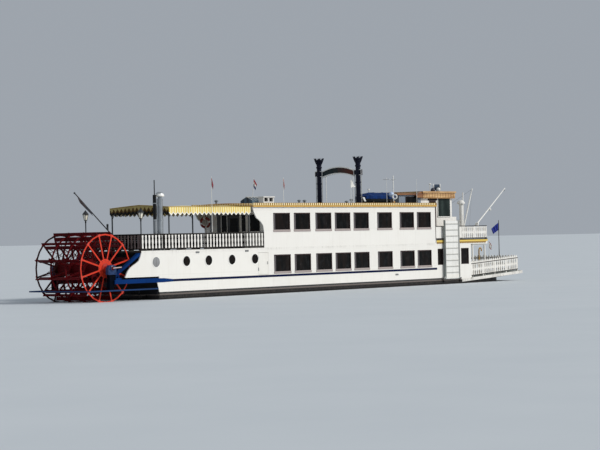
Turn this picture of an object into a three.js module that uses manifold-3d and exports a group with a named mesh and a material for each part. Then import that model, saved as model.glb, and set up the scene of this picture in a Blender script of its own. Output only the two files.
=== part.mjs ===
// Sternwheel paddle steamer on a flat-bottomed barge hull, as a 1:2 scale model.
// All sizes below are the full-size ship's, in millimetres. The group's scale halves them.
// +X runs forward, +Y to port, +Z up. Stations (X) are counted from a frame 1.4 m forward of
// the paddle shaft and heights (Z) from the waterline; the group's position then moves
// the origin to the flat bottom of the hull, on the centreline, amidships.
import * as THREE from 'three';
import * as BufferGeometryUtils from 'three/addons/utils/BufferGeometryUtils.js';
import Module from 'manifold-3d';

const wasm = await Module();
wasm.setup();

// Scale and datum
const MODEL_SCALE = 1 / 2;
const MIDSHIP = 21500;          // station of the origin
const DRAFT = 1050;             // waterline above the flat bottom

// Gaps, full size: they halve in the model
const SEAM = 0.7;               // between pieces that touch
const RUNNING = 14;             // between a moving piece and its surround

// Hull
const HALF_BEAM = 2500;
const TRANSOM = 2230;
const HULL_DECK = 300;
const BOW_START = 33500;        // where the sides begin to close in
const STEM = 40000;
const STRAKE = { proud: 60, low: 90, high: 290 };
const BOW_DECK = { aft: 33300, fore: 40560, aftZ: 340, foreZ: 724, thick: 210, half: HALF_BEAM + 76 };
const BOW_RAIL_X = 40040;
const BOW_SLOPE = (BOW_DECK.foreZ - BOW_DECK.aftZ) / (BOW_DECK.fore - BOW_DECK.aft);
const bowDeckZ = (x) => BOW_DECK.aftZ + BOW_SLOPE * (x - BOW_DECK.aft);

// Decks and walls
const WALL = 80;
const DECK2 = { aft: 890, fore: 36200, low: 2750, high: 2870, foreHigh: 3070, step: 29900 };
const LOBBY_FORE = 34120;
const HOUSE = { aft: 11760, fore: 29880 };
const ROOF = { aft: 10700, fore: 29950, low: 5420, edge: 5600, crown: 5680, half: 2580 };
const WINDOW = { width: 1630, height: 1180, lowerSill: 1240, upperSill: 3850 };
const WINDOW_STATIONS = [12660, 14660, 16810, 18790, 20760, 23300, 25790, 27750];
const PORTHOLE = { radius: 275, z: 2200, stations: [4690, 6630, 8730, 10850] };
const HATCH = { aft: 11150, fore: 12150, low: 1200, high: 2580 };
const GANGWAY_DOOR = { aft: 30900, fore: 32280, low: 420, high: 2500 };

// Paddle wheel
const SHAFT = { x: -1400, z: 1920, journal: 100, drum: 330, drumHalf: 1780 };
const WHEEL = {
  rim: 1940, rimDepth: 80, reach: 2150, outerReach: 1995, discY: 1830, innerDiscY: 610, discThick: 56,
  hub: 550, spoke: 90, boreSides: 16, spokes: 12, firstSpoke: 13.7, floatHalf: 1780, floatThick: 50,
};

// Upper works
const CANOPY = { aft: 3300, fore: 10570, half: 2450, eave: 5400, ridge: 5550, skirt: 4930, cloth: 24 };
const CANOPY_POSTS = [3390, 7050, 10500];
const WHEELHOUSE = {
  aft: 27100, fore: 33300, half: 1500, aftFace: 29990, top: 5999, sill: 4750, aftTop: 6220,
  roofAft: 29600, step: 33830, stepTop: 4700,
};
const RAIL = { height: 980, rail: 60, thick: 50, board: 24, post: 64 };

const group = new THREE.Group();
group.scale.setScalar(MODEL_SCALE);
group.position.set(-MIDSHIP * MODEL_SCALE, 0, DRAFT * MODEL_SCALE);

// Solids: closed meshes become manifolds for cutting and joining
function solid(geometry) {
  const bare = geometry.index ? geometry.toNonIndexed() : geometry.clone();
  for (const name of Object.keys(bare.attributes)) {
    if (name !== 'position') bare.deleteAttribute(name);
  }
  const merged = BufferGeometryUtils.mergeVertices(bare, 1e-3);
  return new wasm.Manifold(new wasm.Mesh({
    numProp: 3,
    vertProperties: new Float32Array(merged.attributes.position.array),
    triVerts: new Uint32Array(merged.index.array),
  }));
}

function geometryOf(manifold) {
  const mesh = manifold.getMesh();
  const geometry = new THREE.BufferGeometry();
  geometry.setAttribute('position', new THREE.BufferAttribute(mesh.vertProperties, 3));
  geometry.setIndex(new THREE.BufferAttribute(mesh.triVerts, 1));
  geometry.computeVertexNormals();
  return geometry;
}

const join = (solids) => solids.reduce((whole, next) => whole.add(next));

function box(x0, x1, y0, y1, z0, z1) {
  const geometry = new THREE.BoxGeometry(x1 - x0, y1 - y0, z1 - z0);
  geometry.translate((x0 + x1) / 2, (y0 + y1) / 2, (z0 + z1) / 2);
  return solid(geometry);
}

function shapeOf(points) {
  return new THREE.Shape(points.map(([a, b]) => new THREE.Vector2(a, b)));
}

// A side view (X, Z) made solid from y0 to y1
function sidePlate(points, y0, y1) {
  const geometry = new THREE.ExtrudeGeometry(shapeOf(points), { depth: y1 - y0, bevelEnabled: false });
  geometry.rotateX(Math.PI / 2);
  geometry.translate(0, y1, 0);
  return solid(geometry);
}

// A plan view (X, Y) made solid from z0 to z1
function planPlate(points, z0, z1) {
  const geometry = new THREE.ExtrudeGeometry(shapeOf(points), { depth: z1 - z0, bevelEnabled: false });
  geometry.translate(0, 0, z0);
  return solid(geometry);
}

// A cross-section (Y, Z) made solid from x0 to x1
function frameSection(points, x0, x1) {
  const geometry = new THREE.ExtrudeGeometry(shapeOf(points), { depth: x1 - x0, bevelEnabled: false });
  geometry.rotateX(Math.PI / 2);
  geometry.rotateZ(Math.PI / 2);
  geometry.translate(x0, 0, 0);
  return solid(geometry);
}

// A round bar between two points
function bar(from, to, radius, sides = 10, endRadius = radius) {
  const a = new THREE.Vector3(...from);
  const b = new THREE.Vector3(...to);
  const geometry = new THREE.CylinderGeometry(endRadius, radius, a.distanceTo(b), sides);
  const turn = new THREE.Quaternion().setFromUnitVectors(
    new THREE.Vector3(0, 1, 0), b.clone().sub(a).normalize());
  geometry.applyQuaternion(turn);
  const middle = a.add(b).multiplyScalar(0.5);
  geometry.translate(middle.x, middle.y, middle.z);
  return solid(geometry);
}

// A turned piece standing on (x, y, z): profile is radius, height pairs from axis to axis
function turned(profile, x, y, z, sides = 16) {
  const points = profile.map(([r, h]) => new THREE.Vector2(r, h));
  const geometry = new THREE.LatheGeometry(points, sides);
  geometry.rotateX(Math.PI / 2);
  geometry.translate(x, y, z);
  return solid(geometry);
}

function add(name, manifold, colour, roughness = 0.5, metalness = 0) {
  const material = new THREE.MeshStandardMaterial({ color: colour, roughness, metalness });
  const mesh = new THREE.Mesh(geometryOf(manifold), material);
  mesh.name = name;
  group.add(mesh);
  return mesh;
}

const SIDES = [['starboard', -1], ['port', 1]];
const WHITE = 0xf2efe8;
const TRIM = 0xe0ae4e;
const BLUE = 0x1f4fa0;
const NAVY = 0x101226;
const RED = 0xe0432b;
const DARK_RED = 0x7a1420;

// Hull: raked at both ends below the deck, parallel sides, a rounded bow in plan,
// the rubbing strakes welded along it and the square bow platform over the stem
const hullProfile = sidePlate([
  [TRANSOM, HULL_DECK], [TRANSOM, 60], [4600, -DRAFT], [36400, -DRAFT], [38900, -250], [STEM, HULL_DECK],
], -HALF_BEAM, HALF_BEAM);
const BOW_STEPS = 7;
const bowPlan = Array.from({ length: 2 * BOW_STEPS + 1 }, (_, i) => {
  const angle = (i / BOW_STEPS - 1) * Math.PI / 2;
  return [BOW_START + (STEM - BOW_START) * Math.cos(angle), HALF_BEAM * Math.sin(angle)];
});
const hullPlan = planPlate(
  [[TRANSOM, HALF_BEAM], [TRANSOM, -HALF_BEAM], ...bowPlan], -DRAFT - 10, HULL_DECK + 10);
const bowPlatform = sidePlate([
  [BOW_DECK.aft, HULL_DECK - BOW_DECK.thick], [BOW_DECK.fore, BOW_DECK.foreZ - BOW_DECK.thick],
  [BOW_DECK.fore, BOW_DECK.foreZ], [BOW_DECK.aft, BOW_DECK.aftZ], [BOW_DECK.aft - 300, HULL_DECK - 1],
  [BOW_DECK.aft - 300, HULL_DECK - BOW_DECK.thick],
], -BOW_DECK.half, BOW_DECK.half);
const lobbyCut = box(BOW_DECK.aft - 400, LOBBY_FORE, -3000, 3000, HULL_DECK, 1200);
const bowFill = sidePlate([
  [BOW_START, 0], [STEM, 0], [STEM, bowDeckZ(STEM) - 20], [LOBBY_FORE, bowDeckZ(LOBBY_FORE) - 20],
], -HALF_BEAM, HALF_BEAM).intersect(planPlate([[BOW_START, -HALF_BEAM], ...bowPlan,
  [BOW_START, HALF_BEAM]], -10, 1200));
const strakes = SIDES.map(([, side]) => {
  const ends = [side * (HALF_BEAM - 20), side * (HALF_BEAM + STRAKE.proud)];
  return box(TRANSOM + 40, BOW_START, Math.min(...ends), Math.max(...ends), STRAKE.low, STRAKE.high);
});
const RUDDER = { stockX: 1950, y: 1200, stock: 60, chord: 1150, top: 60, low: -960, thick: 60 };
const rudderShelf = SIDES.reduce(
  (shelf, [, side]) => shelf.subtract(bar([RUDDER.stockX, side * RUDDER.y, 0],
    [RUDDER.stockX, side * RUDDER.y, 400], RUDDER.stock + RUNNING, 16)),
  box(1700, TRANSOM + 200, -1500, 1500, 120, 290));
const bitts = [[38600, 1], [38600, -1]].map(([x, side]) => join([
  bar([x, side * 1900, bowDeckZ(x) - 40], [x, side * 1900, bowDeckZ(x) + 430], 90, 12),
  bar([x, side * 1900, bowDeckZ(x) + 400], [x, side * 1900, bowDeckZ(x) + 460], 120, 12),
]));
// Lugs on the hull side that carry the gangway's hinge pin
const GANGWAY = { aft: 30720, fore: 32440, y: -2600, foot: 380, length: 4020, cleats: 9, pin: 24 };
const gangwayWidth = GANGWAY.fore - GANGWAY.aft;
const gangwayLugs = [GANGWAY.aft - 150, GANGWAY.fore + 110].map((x) => box(
  x, x + 40, GANGWAY.y - 60, -HALF_BEAM - SEAM, STRAKE.low + 40, GANGWAY.foot + 70)
  .subtract(bar([x - 50, GANGWAY.y, GANGWAY.foot], [x + 90, GANGWAY.y, GANGWAY.foot], GANGWAY.pin + 8, 12)));
add('hull', join([
  hullProfile.intersect(hullPlan), bowFill.subtract(lobbyCut), bowPlatform.subtract(lobbyCut), ...strakes, rudderShelf, ...bitts,
  ...gangwayLugs,
]), 0x1a1a1c, 0.6);

// Side walls of the main deck, one plate each side, with the after ogee over the paddle girders,
// portholes, saloon windows, the lobby's openings and the boarding doorway
const OGEE = [
  [-450, 1355], [-440, 1420], [-240, 1740], [-30, 1920], [200, 2050], [480, 2180], [660, 2290],
  [790, 2500], [900, DECK2.low - SEAM],
];
const lowerOutline = [
  [TRANSOM + 100, HULL_DECK + SEAM], [LOBBY_FORE, HULL_DECK + SEAM], [LOBBY_FORE, DECK2.low - SEAM],
  ...[...OGEE].reverse(), [TRANSOM + 100, 1355],
];
function opening(x0, x1, z0, z1) {
  return box(x0, x1, -4000, 4000, z0, z1);
}
const porthole = (x) => bar([x, -4000, PORTHOLE.z], [x, 4000, PORTHOLE.z], PORTHOLE.radius, 12);
const sharedLower = join([
  ...WINDOW_STATIONS.map((x) => opening(
    x, x + WINDOW.width, WINDOW.lowerSill, WINDOW.lowerSill + WINDOW.height)),
  ...PORTHOLE.stations.map(porthole),
  opening(30100, 30750, 1350, 2480),
  opening(32900, 33850, 1350, 2480),
  opening(GANGWAY_DOOR.aft, GANGWAY_DOOR.fore, GANGWAY_DOOR.low, GANGWAY_DOOR.high),
]);
const hatchway = opening(HATCH.aft, HATCH.fore, HATCH.low, HATCH.high);
for (const [name, side] of SIDES) {
  const inner = side * (HALF_BEAM - WALL);
  const outer = side * HALF_BEAM;
  let wall = sidePlate(lowerOutline, Math.min(inner, outer), Math.max(inner, outer)).subtract(sharedLower);
  if (side < 0) wall = wall.subtract(hatchway);
  add(`side_lower_${name}`, wall, WHITE, 0.35);
}

// Cross walls of the main deck and the engine block behind the after one
const innerHalf = HALF_BEAM - WALL - SEAM;
const floorZ = HULL_DECK + SEAM;
const ceilingZ = DECK2.low - SEAM;
add('bulkhead_stern', box(TRANSOM, TRANSOM + WALL, -innerHalf, innerHalf, floorZ, ceilingZ), WHITE, 0.4);
add('engine', box(3600, 6000, -620, 620, floorZ, 1500), 0x4c5154, 0.5, 0.6);
add('bulkhead_saloon', box(HOUSE.fore, HOUSE.fore + WALL, -innerHalf, innerHalf, floorZ, ceilingZ)
  .subtract(box(HOUSE.fore - 100, HOUSE.fore + 200, -500, 500, 200, 2350)), WHITE, 0.4);
const BOW_DOOR = { y: 460, low: 560, high: 2420, leaf: 45 };
add('lobby_front', box(LOBBY_FORE - WALL, LOBBY_FORE - SEAM, -innerHalf, innerHalf, floorZ + 90, ceilingZ)
  .subtract(box(LOBBY_FORE - 200, LOBBY_FORE + 200, -BOW_DOOR.y, BOW_DOOR.y, BOW_DOOR.low, BOW_DOOR.high))
  .subtract(box(LOBBY_FORE - 200, LOBBY_FORE + 200, -2200, -1000, 1350, 2480))
  .subtract(box(LOBBY_FORE - 200, LOBBY_FORE + 200, 1000, 2200, 1350, 2480)), WHITE, 0.4);

// Upper deck: one slab over the main deck, thicker forward where it carries the promenade
add('deck_upper', join([
  box(DECK2.aft, DECK2.step + 100, -HALF_BEAM, HALF_BEAM, DECK2.low, DECK2.high),
  box(DECK2.step, DECK2.fore, -HALF_BEAM, HALF_BEAM, DECK2.low, DECK2.foreHigh),
]), 0x8a8478, 0.7);

// Side walls of the deckhouse with the S-curved after edge
const HOUSE_CURVE = [
  [11760, 3890], [11690, 4260], [11440, 4520], [11060, 4750], [10850, 5070], [10710, 5420 - SEAM],
];
const upperOutline = [
  [HOUSE.aft, DECK2.high + SEAM], [HOUSE.fore, DECK2.high + SEAM], [HOUSE.fore, ROOF.low - SEAM],
  ...[...HOUSE_CURVE].reverse(),
];
const upperWindows = join(WINDOW_STATIONS.map((x) => opening(
  x, x + WINDOW.width, WINDOW.upperSill, WINDOW.upperSill + WINDOW.height)));
for (const [name, side] of SIDES) {
  const inner = side * (HALF_BEAM - WALL);
  const outer = side * HALF_BEAM;
  add(`side_upper_${name}`,
    sidePlate(upperOutline, Math.min(inner, outer), Math.max(inner, outer)).subtract(upperWindows),
    WHITE, 0.35);
}

// End walls of the deckhouse: a door to the after deck, open passages to the fore deck
const AFT_DOOR = { y: 460, low: DECK2.high + 30, high: 4930, leaf: 45 };
const houseFloor = DECK2.high + SEAM;
const houseCeiling = ROOF.low - SEAM;
add('bulkhead_aft', box(HOUSE.aft + 20, HOUSE.aft + 20 + WALL, -innerHalf, innerHalf, houseFloor, houseCeiling)
  .subtract(box(HOUSE.aft - 100, HOUSE.aft + 200, -AFT_DOOR.y, AFT_DOOR.y, AFT_DOOR.low - 60, AFT_DOOR.high))
  .subtract(box(HOUSE.aft - 100, HOUSE.aft + 200, -2200, -1260, 3850, 5000))
  .subtract(box(HOUSE.aft - 100, HOUSE.aft + 200, -1020, -560, 3850, 5000))
  .subtract(box(HOUSE.aft - 100, HOUSE.aft + 200, 560, 1120, 3850, 5000)), WHITE, 0.4);
add('bulkhead_fore', box(HOUSE.fore - WALL, HOUSE.fore, -innerHalf, innerHalf, houseFloor, houseCeiling)
  .subtract(box(HOUSE.fore - 200, HOUSE.fore + 200, 1620, 2340, 3000, 5000))
  .subtract(box(HOUSE.fore - 200, HOUSE.fore + 200, -2340, -1620, 3000, 5000)), WHITE, 0.4);

// Roof: cambered, with a deep trim board round its edge
const roofSteps = 10;
const camber = (y, half, edge, crown) => edge + (crown - edge) * (1 - (y / half) ** 2);
const arc = (half, edge, crown, steps = roofSteps) => Array.from({ length: steps + 1 }, (_, i) => {
  const y = half - 2 * half * i / steps;
  return [y, camber(y, half, edge, crown)];
});
const roofSlab = frameSection(
  [[-ROOF.half, ROOF.low], [ROOF.half, ROOF.low], ...arc(ROOF.half, ROOF.edge, ROOF.crown)],
  ROOF.aft, ROOF.fore);
// Ears on the roof's edge carry the folding mast on a pin
const MAST = { x: 25340, y: -2360, pivot: 5720, top: 7500, radius: 34, pin: 12 };
const acrossPin = (x, y0, y1, z, radius) => bar([x, y0, z], [x, y1, z], radius, 10);
const mastEars = [MAST.y - 75, MAST.y + 50].map((y) => box(
  MAST.x - 55, MAST.x + 55, y, y + 25, ROOF.low + 100, MAST.pivot + 60));
add('roof', join([roofSlab, ...mastEars,
  acrossPin(MAST.x, MAST.y - 70, MAST.y + 70, MAST.pivot, MAST.pin)]), TRIM, 0.6);

// Wheelhouse: a tall cabin on the fore deck that runs aft over the deckhouse roof as a low clerestory
const wh = WHEELHOUSE;
const whInner = wh.half - WALL;
const whShell = join([
  box(wh.aftFace, wh.fore, -wh.half, wh.half, DECK2.foreHigh + SEAM, wh.top),
  box(wh.aft, wh.aftFace + 40, -wh.half, wh.half, ROOF.edge, wh.top),
  box(wh.aft, wh.roofAft - SEAM, -wh.half, wh.half, wh.top - 20, wh.aftTop),
  box(wh.fore - WALL, wh.step, -wh.half, wh.half, DECK2.foreHigh + SEAM, wh.stepTop),
])
  .subtract(box(wh.aftFace + WALL, wh.fore - WALL, -whInner, whInner, DECK2.foreHigh - 50, wh.top + 50))
  .subtract(box(wh.aft + WALL, wh.aftFace + WALL + 40, -whInner, whInner, ROOF.edge - 10, wh.top))
  .subtract(box(wh.aft + WALL, wh.roofAft - SEAM - WALL, -whInner, whInner, wh.top - 10, wh.aftTop + 50))
  .subtract(box(wh.fore, wh.step - WALL, -whInner, whInner, DECK2.foreHigh - 50, wh.stepTop - WALL))
  .subtract(roofSlab.translate(0, 0, SEAM));
const WH_DOOR = { aft: 30560, fore: 31410, low: DECK2.foreHigh + 30, high: 5900, leaf: 45 };
const whSide = (x0, x1, z0, z1, side) => (side < 0 ? box(x0, x1, -wh.half - 50, -whInner + 50, z0, z1)
  : box(x0, x1, whInner - 50, wh.half + 50, z0, z1));
const whOpenings = join([
  ...SIDES.map(([, side]) => whSide(31650, 33150, wh.sill, 5880, side)),
  ...SIDES.map(([, side]) => whSide(27880, 29050, 5740, 6080, side)),
  whSide(WH_DOOR.aft, WH_DOOR.fore, WH_DOOR.low - 60, WH_DOOR.high, -1),
  whSide(30470, 31420, wh.sill, 5880, 1),
  ...[[-1370, -500], [-430, 430], [500, 1370]].map(([y0, y1]) => box(
    wh.fore - 150, wh.fore + 50, y0, y1, wh.sill, 5880)),
]);
add('wheelhouse', whShell.subtract(whOpenings), WHITE, 0.4);
add('wheelhouse_roof', join([
  box(wh.roofAft, wh.fore + 100, -wh.half - 200, wh.half + 200, wh.top + SEAM, 6380),
  box(wh.roofAft - 60, wh.fore + 170, -wh.half - 260, wh.half + 260, 6370, 6490),
  box(26760, wh.roofAft + 100, -wh.half - 120, wh.half + 120, wh.aftTop + SEAM, 6330),
  turned([[0, 0], [120, 0], [170, 120], [120, 240], [0, 290]], 31900, -900, 6480, 12),
]), 0xc9832f, 0.55);

// Boarding doors, each hung on its vertical edge and standing clear of its frame
function doorLeaf(width, height, leaf, pane) {
  const panel = box(0, width, 0, leaf, 0, height);
  return pane ? panel.subtract(box(120, width - 120, -50, leaf + 50, pane[0], pane[1])) : panel;
}
function hangDoor(name, leafSolid, x, y, z, turnDeg, colour) {
  const mesh = add(name, leafSolid, colour, 0.45);
  mesh.position.set(x, y, z);
  mesh.rotation.z = THREE.MathUtils.degToRad(turnDeg);
  return mesh;
}
hangDoor('door_aft', doorLeaf(2 * (AFT_DOOR.y - RUNNING), AFT_DOOR.high - AFT_DOOR.low - RUNNING,
  AFT_DOOR.leaf, [1000, 1850]), HOUSE.aft + 20, AFT_DOOR.y - RUNNING, AFT_DOOR.low, -90, WHITE);
hangDoor('door_bow', doorLeaf(2 * (BOW_DOOR.y - RUNNING), BOW_DOOR.high - BOW_DOOR.low - 2 * RUNNING,
  BOW_DOOR.leaf, [900, 1650]), LOBBY_FORE - SEAM, -BOW_DOOR.y + RUNNING, BOW_DOOR.low + RUNNING, 90, WHITE);
hangDoor('hatch_side', doorLeaf(HATCH.fore - HATCH.aft - 2 * RUNNING, HATCH.high - HATCH.low - 2 * RUNNING,
  50, null), HATCH.aft + RUNNING, -HALF_BEAM, HATCH.low + RUNNING, 0, WHITE);
hangDoor('door_wheelhouse', doorLeaf(WH_DOOR.fore - WH_DOOR.aft - 2 * RUNNING,
  WH_DOOR.high - WH_DOOR.low - RUNNING, WH_DOOR.leaf, [1660, 2680]),
WH_DOOR.aft + RUNNING, -wh.half, WH_DOOR.low, 0, WHITE);

// Canopy over the after deck: a cambered sheet with a skirt round it, on a frame of posts and bows
const canopyTop = arc(CANOPY.half, CANOPY.eave, CANOPY.ridge);
const canopyUnder = arc(CANOPY.half - CANOPY.cloth, CANOPY.eave - CANOPY.cloth, CANOPY.ridge - CANOPY.cloth);
const canopySection = [
  [-CANOPY.half, CANOPY.skirt], [-CANOPY.half + CANOPY.cloth, CANOPY.skirt],
  ...[...canopyUnder].reverse(), [CANOPY.half - CANOPY.cloth, CANOPY.skirt],
  [CANOPY.half, CANOPY.skirt], ...canopyTop,
];
const canopyEnd = [
  [-CANOPY.half, CANOPY.skirt], [CANOPY.half, CANOPY.skirt], ...canopyTop,
];
add('canopy', join([
  frameSection(canopySection, CANOPY.aft, CANOPY.fore),
  frameSection(canopyEnd, CANOPY.aft, CANOPY.aft + CANOPY.cloth),
]), 0xe9d9a0, 0.9);
const postY = 2360;
const bowDepth = 60;
const bowUnder = arc(postY + 30, CANOPY.eave - 40 - bowDepth, CANOPY.ridge - 40 - bowDepth, 8);
const bowOver = arc(postY + 30, CANOPY.eave - 40, CANOPY.ridge - 40, 8);
add('canopy_frame', join([
  ...CANOPY_POSTS.flatMap((x) => [
    frameSection([...[...bowUnder].reverse(), ...bowOver], x - 30, x + 30),
    ...SIDES.map(([, side]) => box(
      x - 30, x + 30, side * postY - 30, side * postY + 30, DECK2.high + SEAM, CANOPY.eave - 80)),
  ]),
  ...SIDES.map(([, side]) => box(CANOPY_POSTS[0] - 30, CANOPY_POSTS[2] + 30, side * postY - 25,
    side * postY + 25, CANOPY.eave - 140, CANOPY.eave - 80)),
]), 0x2c2f33, 0.5);

// Railings: flat boards between two rails under a wider cap, with posts along the run
function railing(length, { pitch, board, posts, solidTo = 0, height = RAIL.height, foot = 70 }) {
  const half = RAIL.board / 2;
  const boards = Math.floor((length - solidTo - board) / pitch);
  const first = solidTo + (length - solidTo - boards * pitch) / 2;
  const gaps = Array.from({ length: boards }, (_, i) => box(
    first + i * pitch + board / 2, first + (i + 1) * pitch - board / 2,
    -RAIL.thick, RAIL.thick, foot + RAIL.rail, height - RAIL.rail));
  const pieces = [
    box(0, length, -half, half, foot, height - 20).subtract(join(gaps)),
    box(0, length, -RAIL.thick / 2, RAIL.thick / 2, height - 45, height),
  ];
  for (let i = 0; i <= posts; i += 1) {
    const x = i * (length - RAIL.post) / posts;
    pieces.push(box(x, x + RAIL.post, -RAIL.thick / 2 + 4, RAIL.thick / 2 - 4, 0, height - 5));
  }
  return join(pieces);
}
function placeRailing(name, manifold, x, y, z, turnDeg = 0, slope = 0) {
  const mesh = add(name, manifold, WHITE, 0.5);
  if (slope) mesh.geometry.applyMatrix4(new THREE.Matrix4().set(
    1, 0, 0, 0, 0, 1, 0, 0, slope, 0, 1, 0, 0, 0, 0, 1));
  mesh.position.set(x, y, z);
  mesh.rotation.z = THREE.MathUtils.degToRad(turnDeg);
}
const railY = HALF_BEAM - RAIL.thick / 2 - 10;
const AFT_BOARDS = { pitch: 276, board: 165 };
const FORE_BOARDS = { pitch: 300, board: 140 };
const sternHalf = railY - 45;
placeRailing('rail_stern', railing(2 * sternHalf, { ...AFT_BOARDS, posts: 2 }),
  DECK2.aft + 40, -sternHalf, DECK2.high + SEAM, 90);
for (const [name, side] of SIDES) {
  placeRailing(`rail_aft_${name}`, railing(HOUSE.aft - 20 - DECK2.aft, { ...AFT_BOARDS, posts: 6 }),
    DECK2.aft + 10, side * railY, DECK2.high + SEAM);
  placeRailing(`rail_fore_${name}`,
    railing(DECK2.fore - 20 - (HOUSE.fore + 100), { ...FORE_BOARDS, posts: 4, solidTo: 3050 }),
    HOUSE.fore + 100, side * railY, DECK2.foreHigh + SEAM);
  placeRailing(`rail_bow_${name}`,
    railing(BOW_RAIL_X + 20 - LOBBY_FORE, { ...FORE_BOARDS, posts: 4, height: 1070, foot: 170 }),
    LOBBY_FORE + 20, side * railY, bowDeckZ(LOBBY_FORE + 20) + SEAM, 0, BOW_SLOPE);
}
placeRailing('rail_fore_front', railing(2 * sternHalf, { ...FORE_BOARDS, posts: 2 }),
  DECK2.fore - 50, -sternHalf, DECK2.foreHigh + SEAM, 90);
placeRailing('rail_bow_front', railing(2 * sternHalf, { ...FORE_BOARDS, posts: 2, height: 1070 }),
  BOW_RAIL_X, -sternHalf, bowDeckZ(BOW_RAIL_X + RAIL.thick) + SEAM, 90);

// Posts that carry the fore end of the upper deck
const PROMENADE_POSTS = [34560, 36060];
const promenadeY = 2330;
add('promenade_frame', join([
  ...PROMENADE_POSTS.flatMap((x) => [
    box(x - 45, x + 45, -promenadeY - 40, promenadeY + 40, 2640, ceilingZ),
    ...SIDES.map(([, side]) => box(x - 45, x + 45, side * promenadeY - 45, side * promenadeY + 45,
      bowDeckZ(x + 45) + SEAM, ceilingZ)),
  ]),
  ...SIDES.map(([, side]) => box(PROMENADE_POSTS[0], PROMENADE_POSTS[1], side * promenadeY - 40,
    side * promenadeY + 40, 2640, ceilingZ)),
]), WHITE, 0.5);

// Lanterns at the after corners of the upper deck
const LANTERN = { x: 1050, y: 2330 };
for (const [name, side] of SIDES) {
  add(`lantern_${name}`, turned([
    [0, 0], [70, 0], [70, 60], [38, 120], [38, 1800], [60, 1860], [110, 1890], [170, 2230], [210, 2250],
    [90, 2400], [40, 2420], [0, 2480],
  ], LANTERN.x + 60, side * (LANTERN.y - 40), DECK2.high + SEAM, 8), 0x23262b, 0.5, 0.3);
}

// Ensign staff in a socket on the stern rail's cap, raking aft over the wheel
const sternCap = DECK2.high + RAIL.height + 2 * SEAM;
add('ensign_staff', join([
  bar([930, 0, sternCap + 50], [-1900, 0, 6250], 32, 8),
  box(885, 975, -70, 70, sternCap, sternCap + 110),
]), 0x8b6a3f, 0.5);

// Paddle girders: beam, pillar, post and strut in one welded frame each side, with the bearing block on top
const GIRDER = { inner: 2200, outer: HALF_BEAM - WALL - SEAM };
const girderParts = [
  [[-1300, 1020], [TRANSOM - SEAM, 1020], [TRANSOM - SEAM, 1350], [-1300, 1350]],
  [[-1640, 600], [-1310, 600], [-1200, 1560], [-1640, 1560]],
  [[-960, 1340], [-850, 1340], [-850, 1830], [-960, 1830]],
  [[-1260, 1400], [-1160, 1340], [-700, 1700], [-700, 1860], [-900, 1860]],
  [[-900, 1700], [-760, 1640], [900, 2630], [900, 2749], [780, 2749]],
];
const shaftPoint = (y) => [SHAFT.x, y, SHAFT.z];
for (const [name, side] of SIDES) {
  const y0 = side < 0 ? -GIRDER.outer : GIRDER.inner;
  const y1 = side < 0 ? -GIRDER.inner : GIRDER.outer;
  const block = sidePlate([
    [-1720, 1560 + SEAM], [-1080, 1560 + SEAM], [-1080, 1960], [-1220, 2110], [-1580, 2110], [-1720, 1960],
  ], y0, y1);
  const bore = bar(shaftPoint(y0 - 50), shaftPoint(y1 + 50), SHAFT.journal + 12, WHEEL.boreSides);
  const frame = join(girderParts.map((points) => sidePlate(points, y0, y1)));
  add(`girder_${name}`, frame.subtract(box(-1721, -1080 + SEAM, y0 - 9, y1 + 9, 1560, 2131)), BLUE, 0.45);
  add(`bearing_${name}`, block.subtract(bore), 0x3b5f8c, 0.5, 0.3);
}

// Guard bar round the wheel at the water
const GUARD = { inner: HALF_BEAM - WALL + SEAM, outer: 2498, low: 610, high: 690, aft: -3310, fore: TRANSOM + 100 - SEAM };
add('wheel_guard', join([
  ...SIDES.map(([, side]) => (side < 0
    ? box(GUARD.aft, GUARD.fore, -GUARD.outer, -GUARD.inner, GUARD.low, GUARD.high)
    : box(GUARD.aft, GUARD.fore, GUARD.inner, GUARD.outer, GUARD.low, GUARD.high))),
  box(GUARD.aft, GUARD.aft + 80, -GUARD.outer, GUARD.outer, GUARD.low, GUARD.high),
]), 0x2f5c9c, 0.5);

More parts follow.
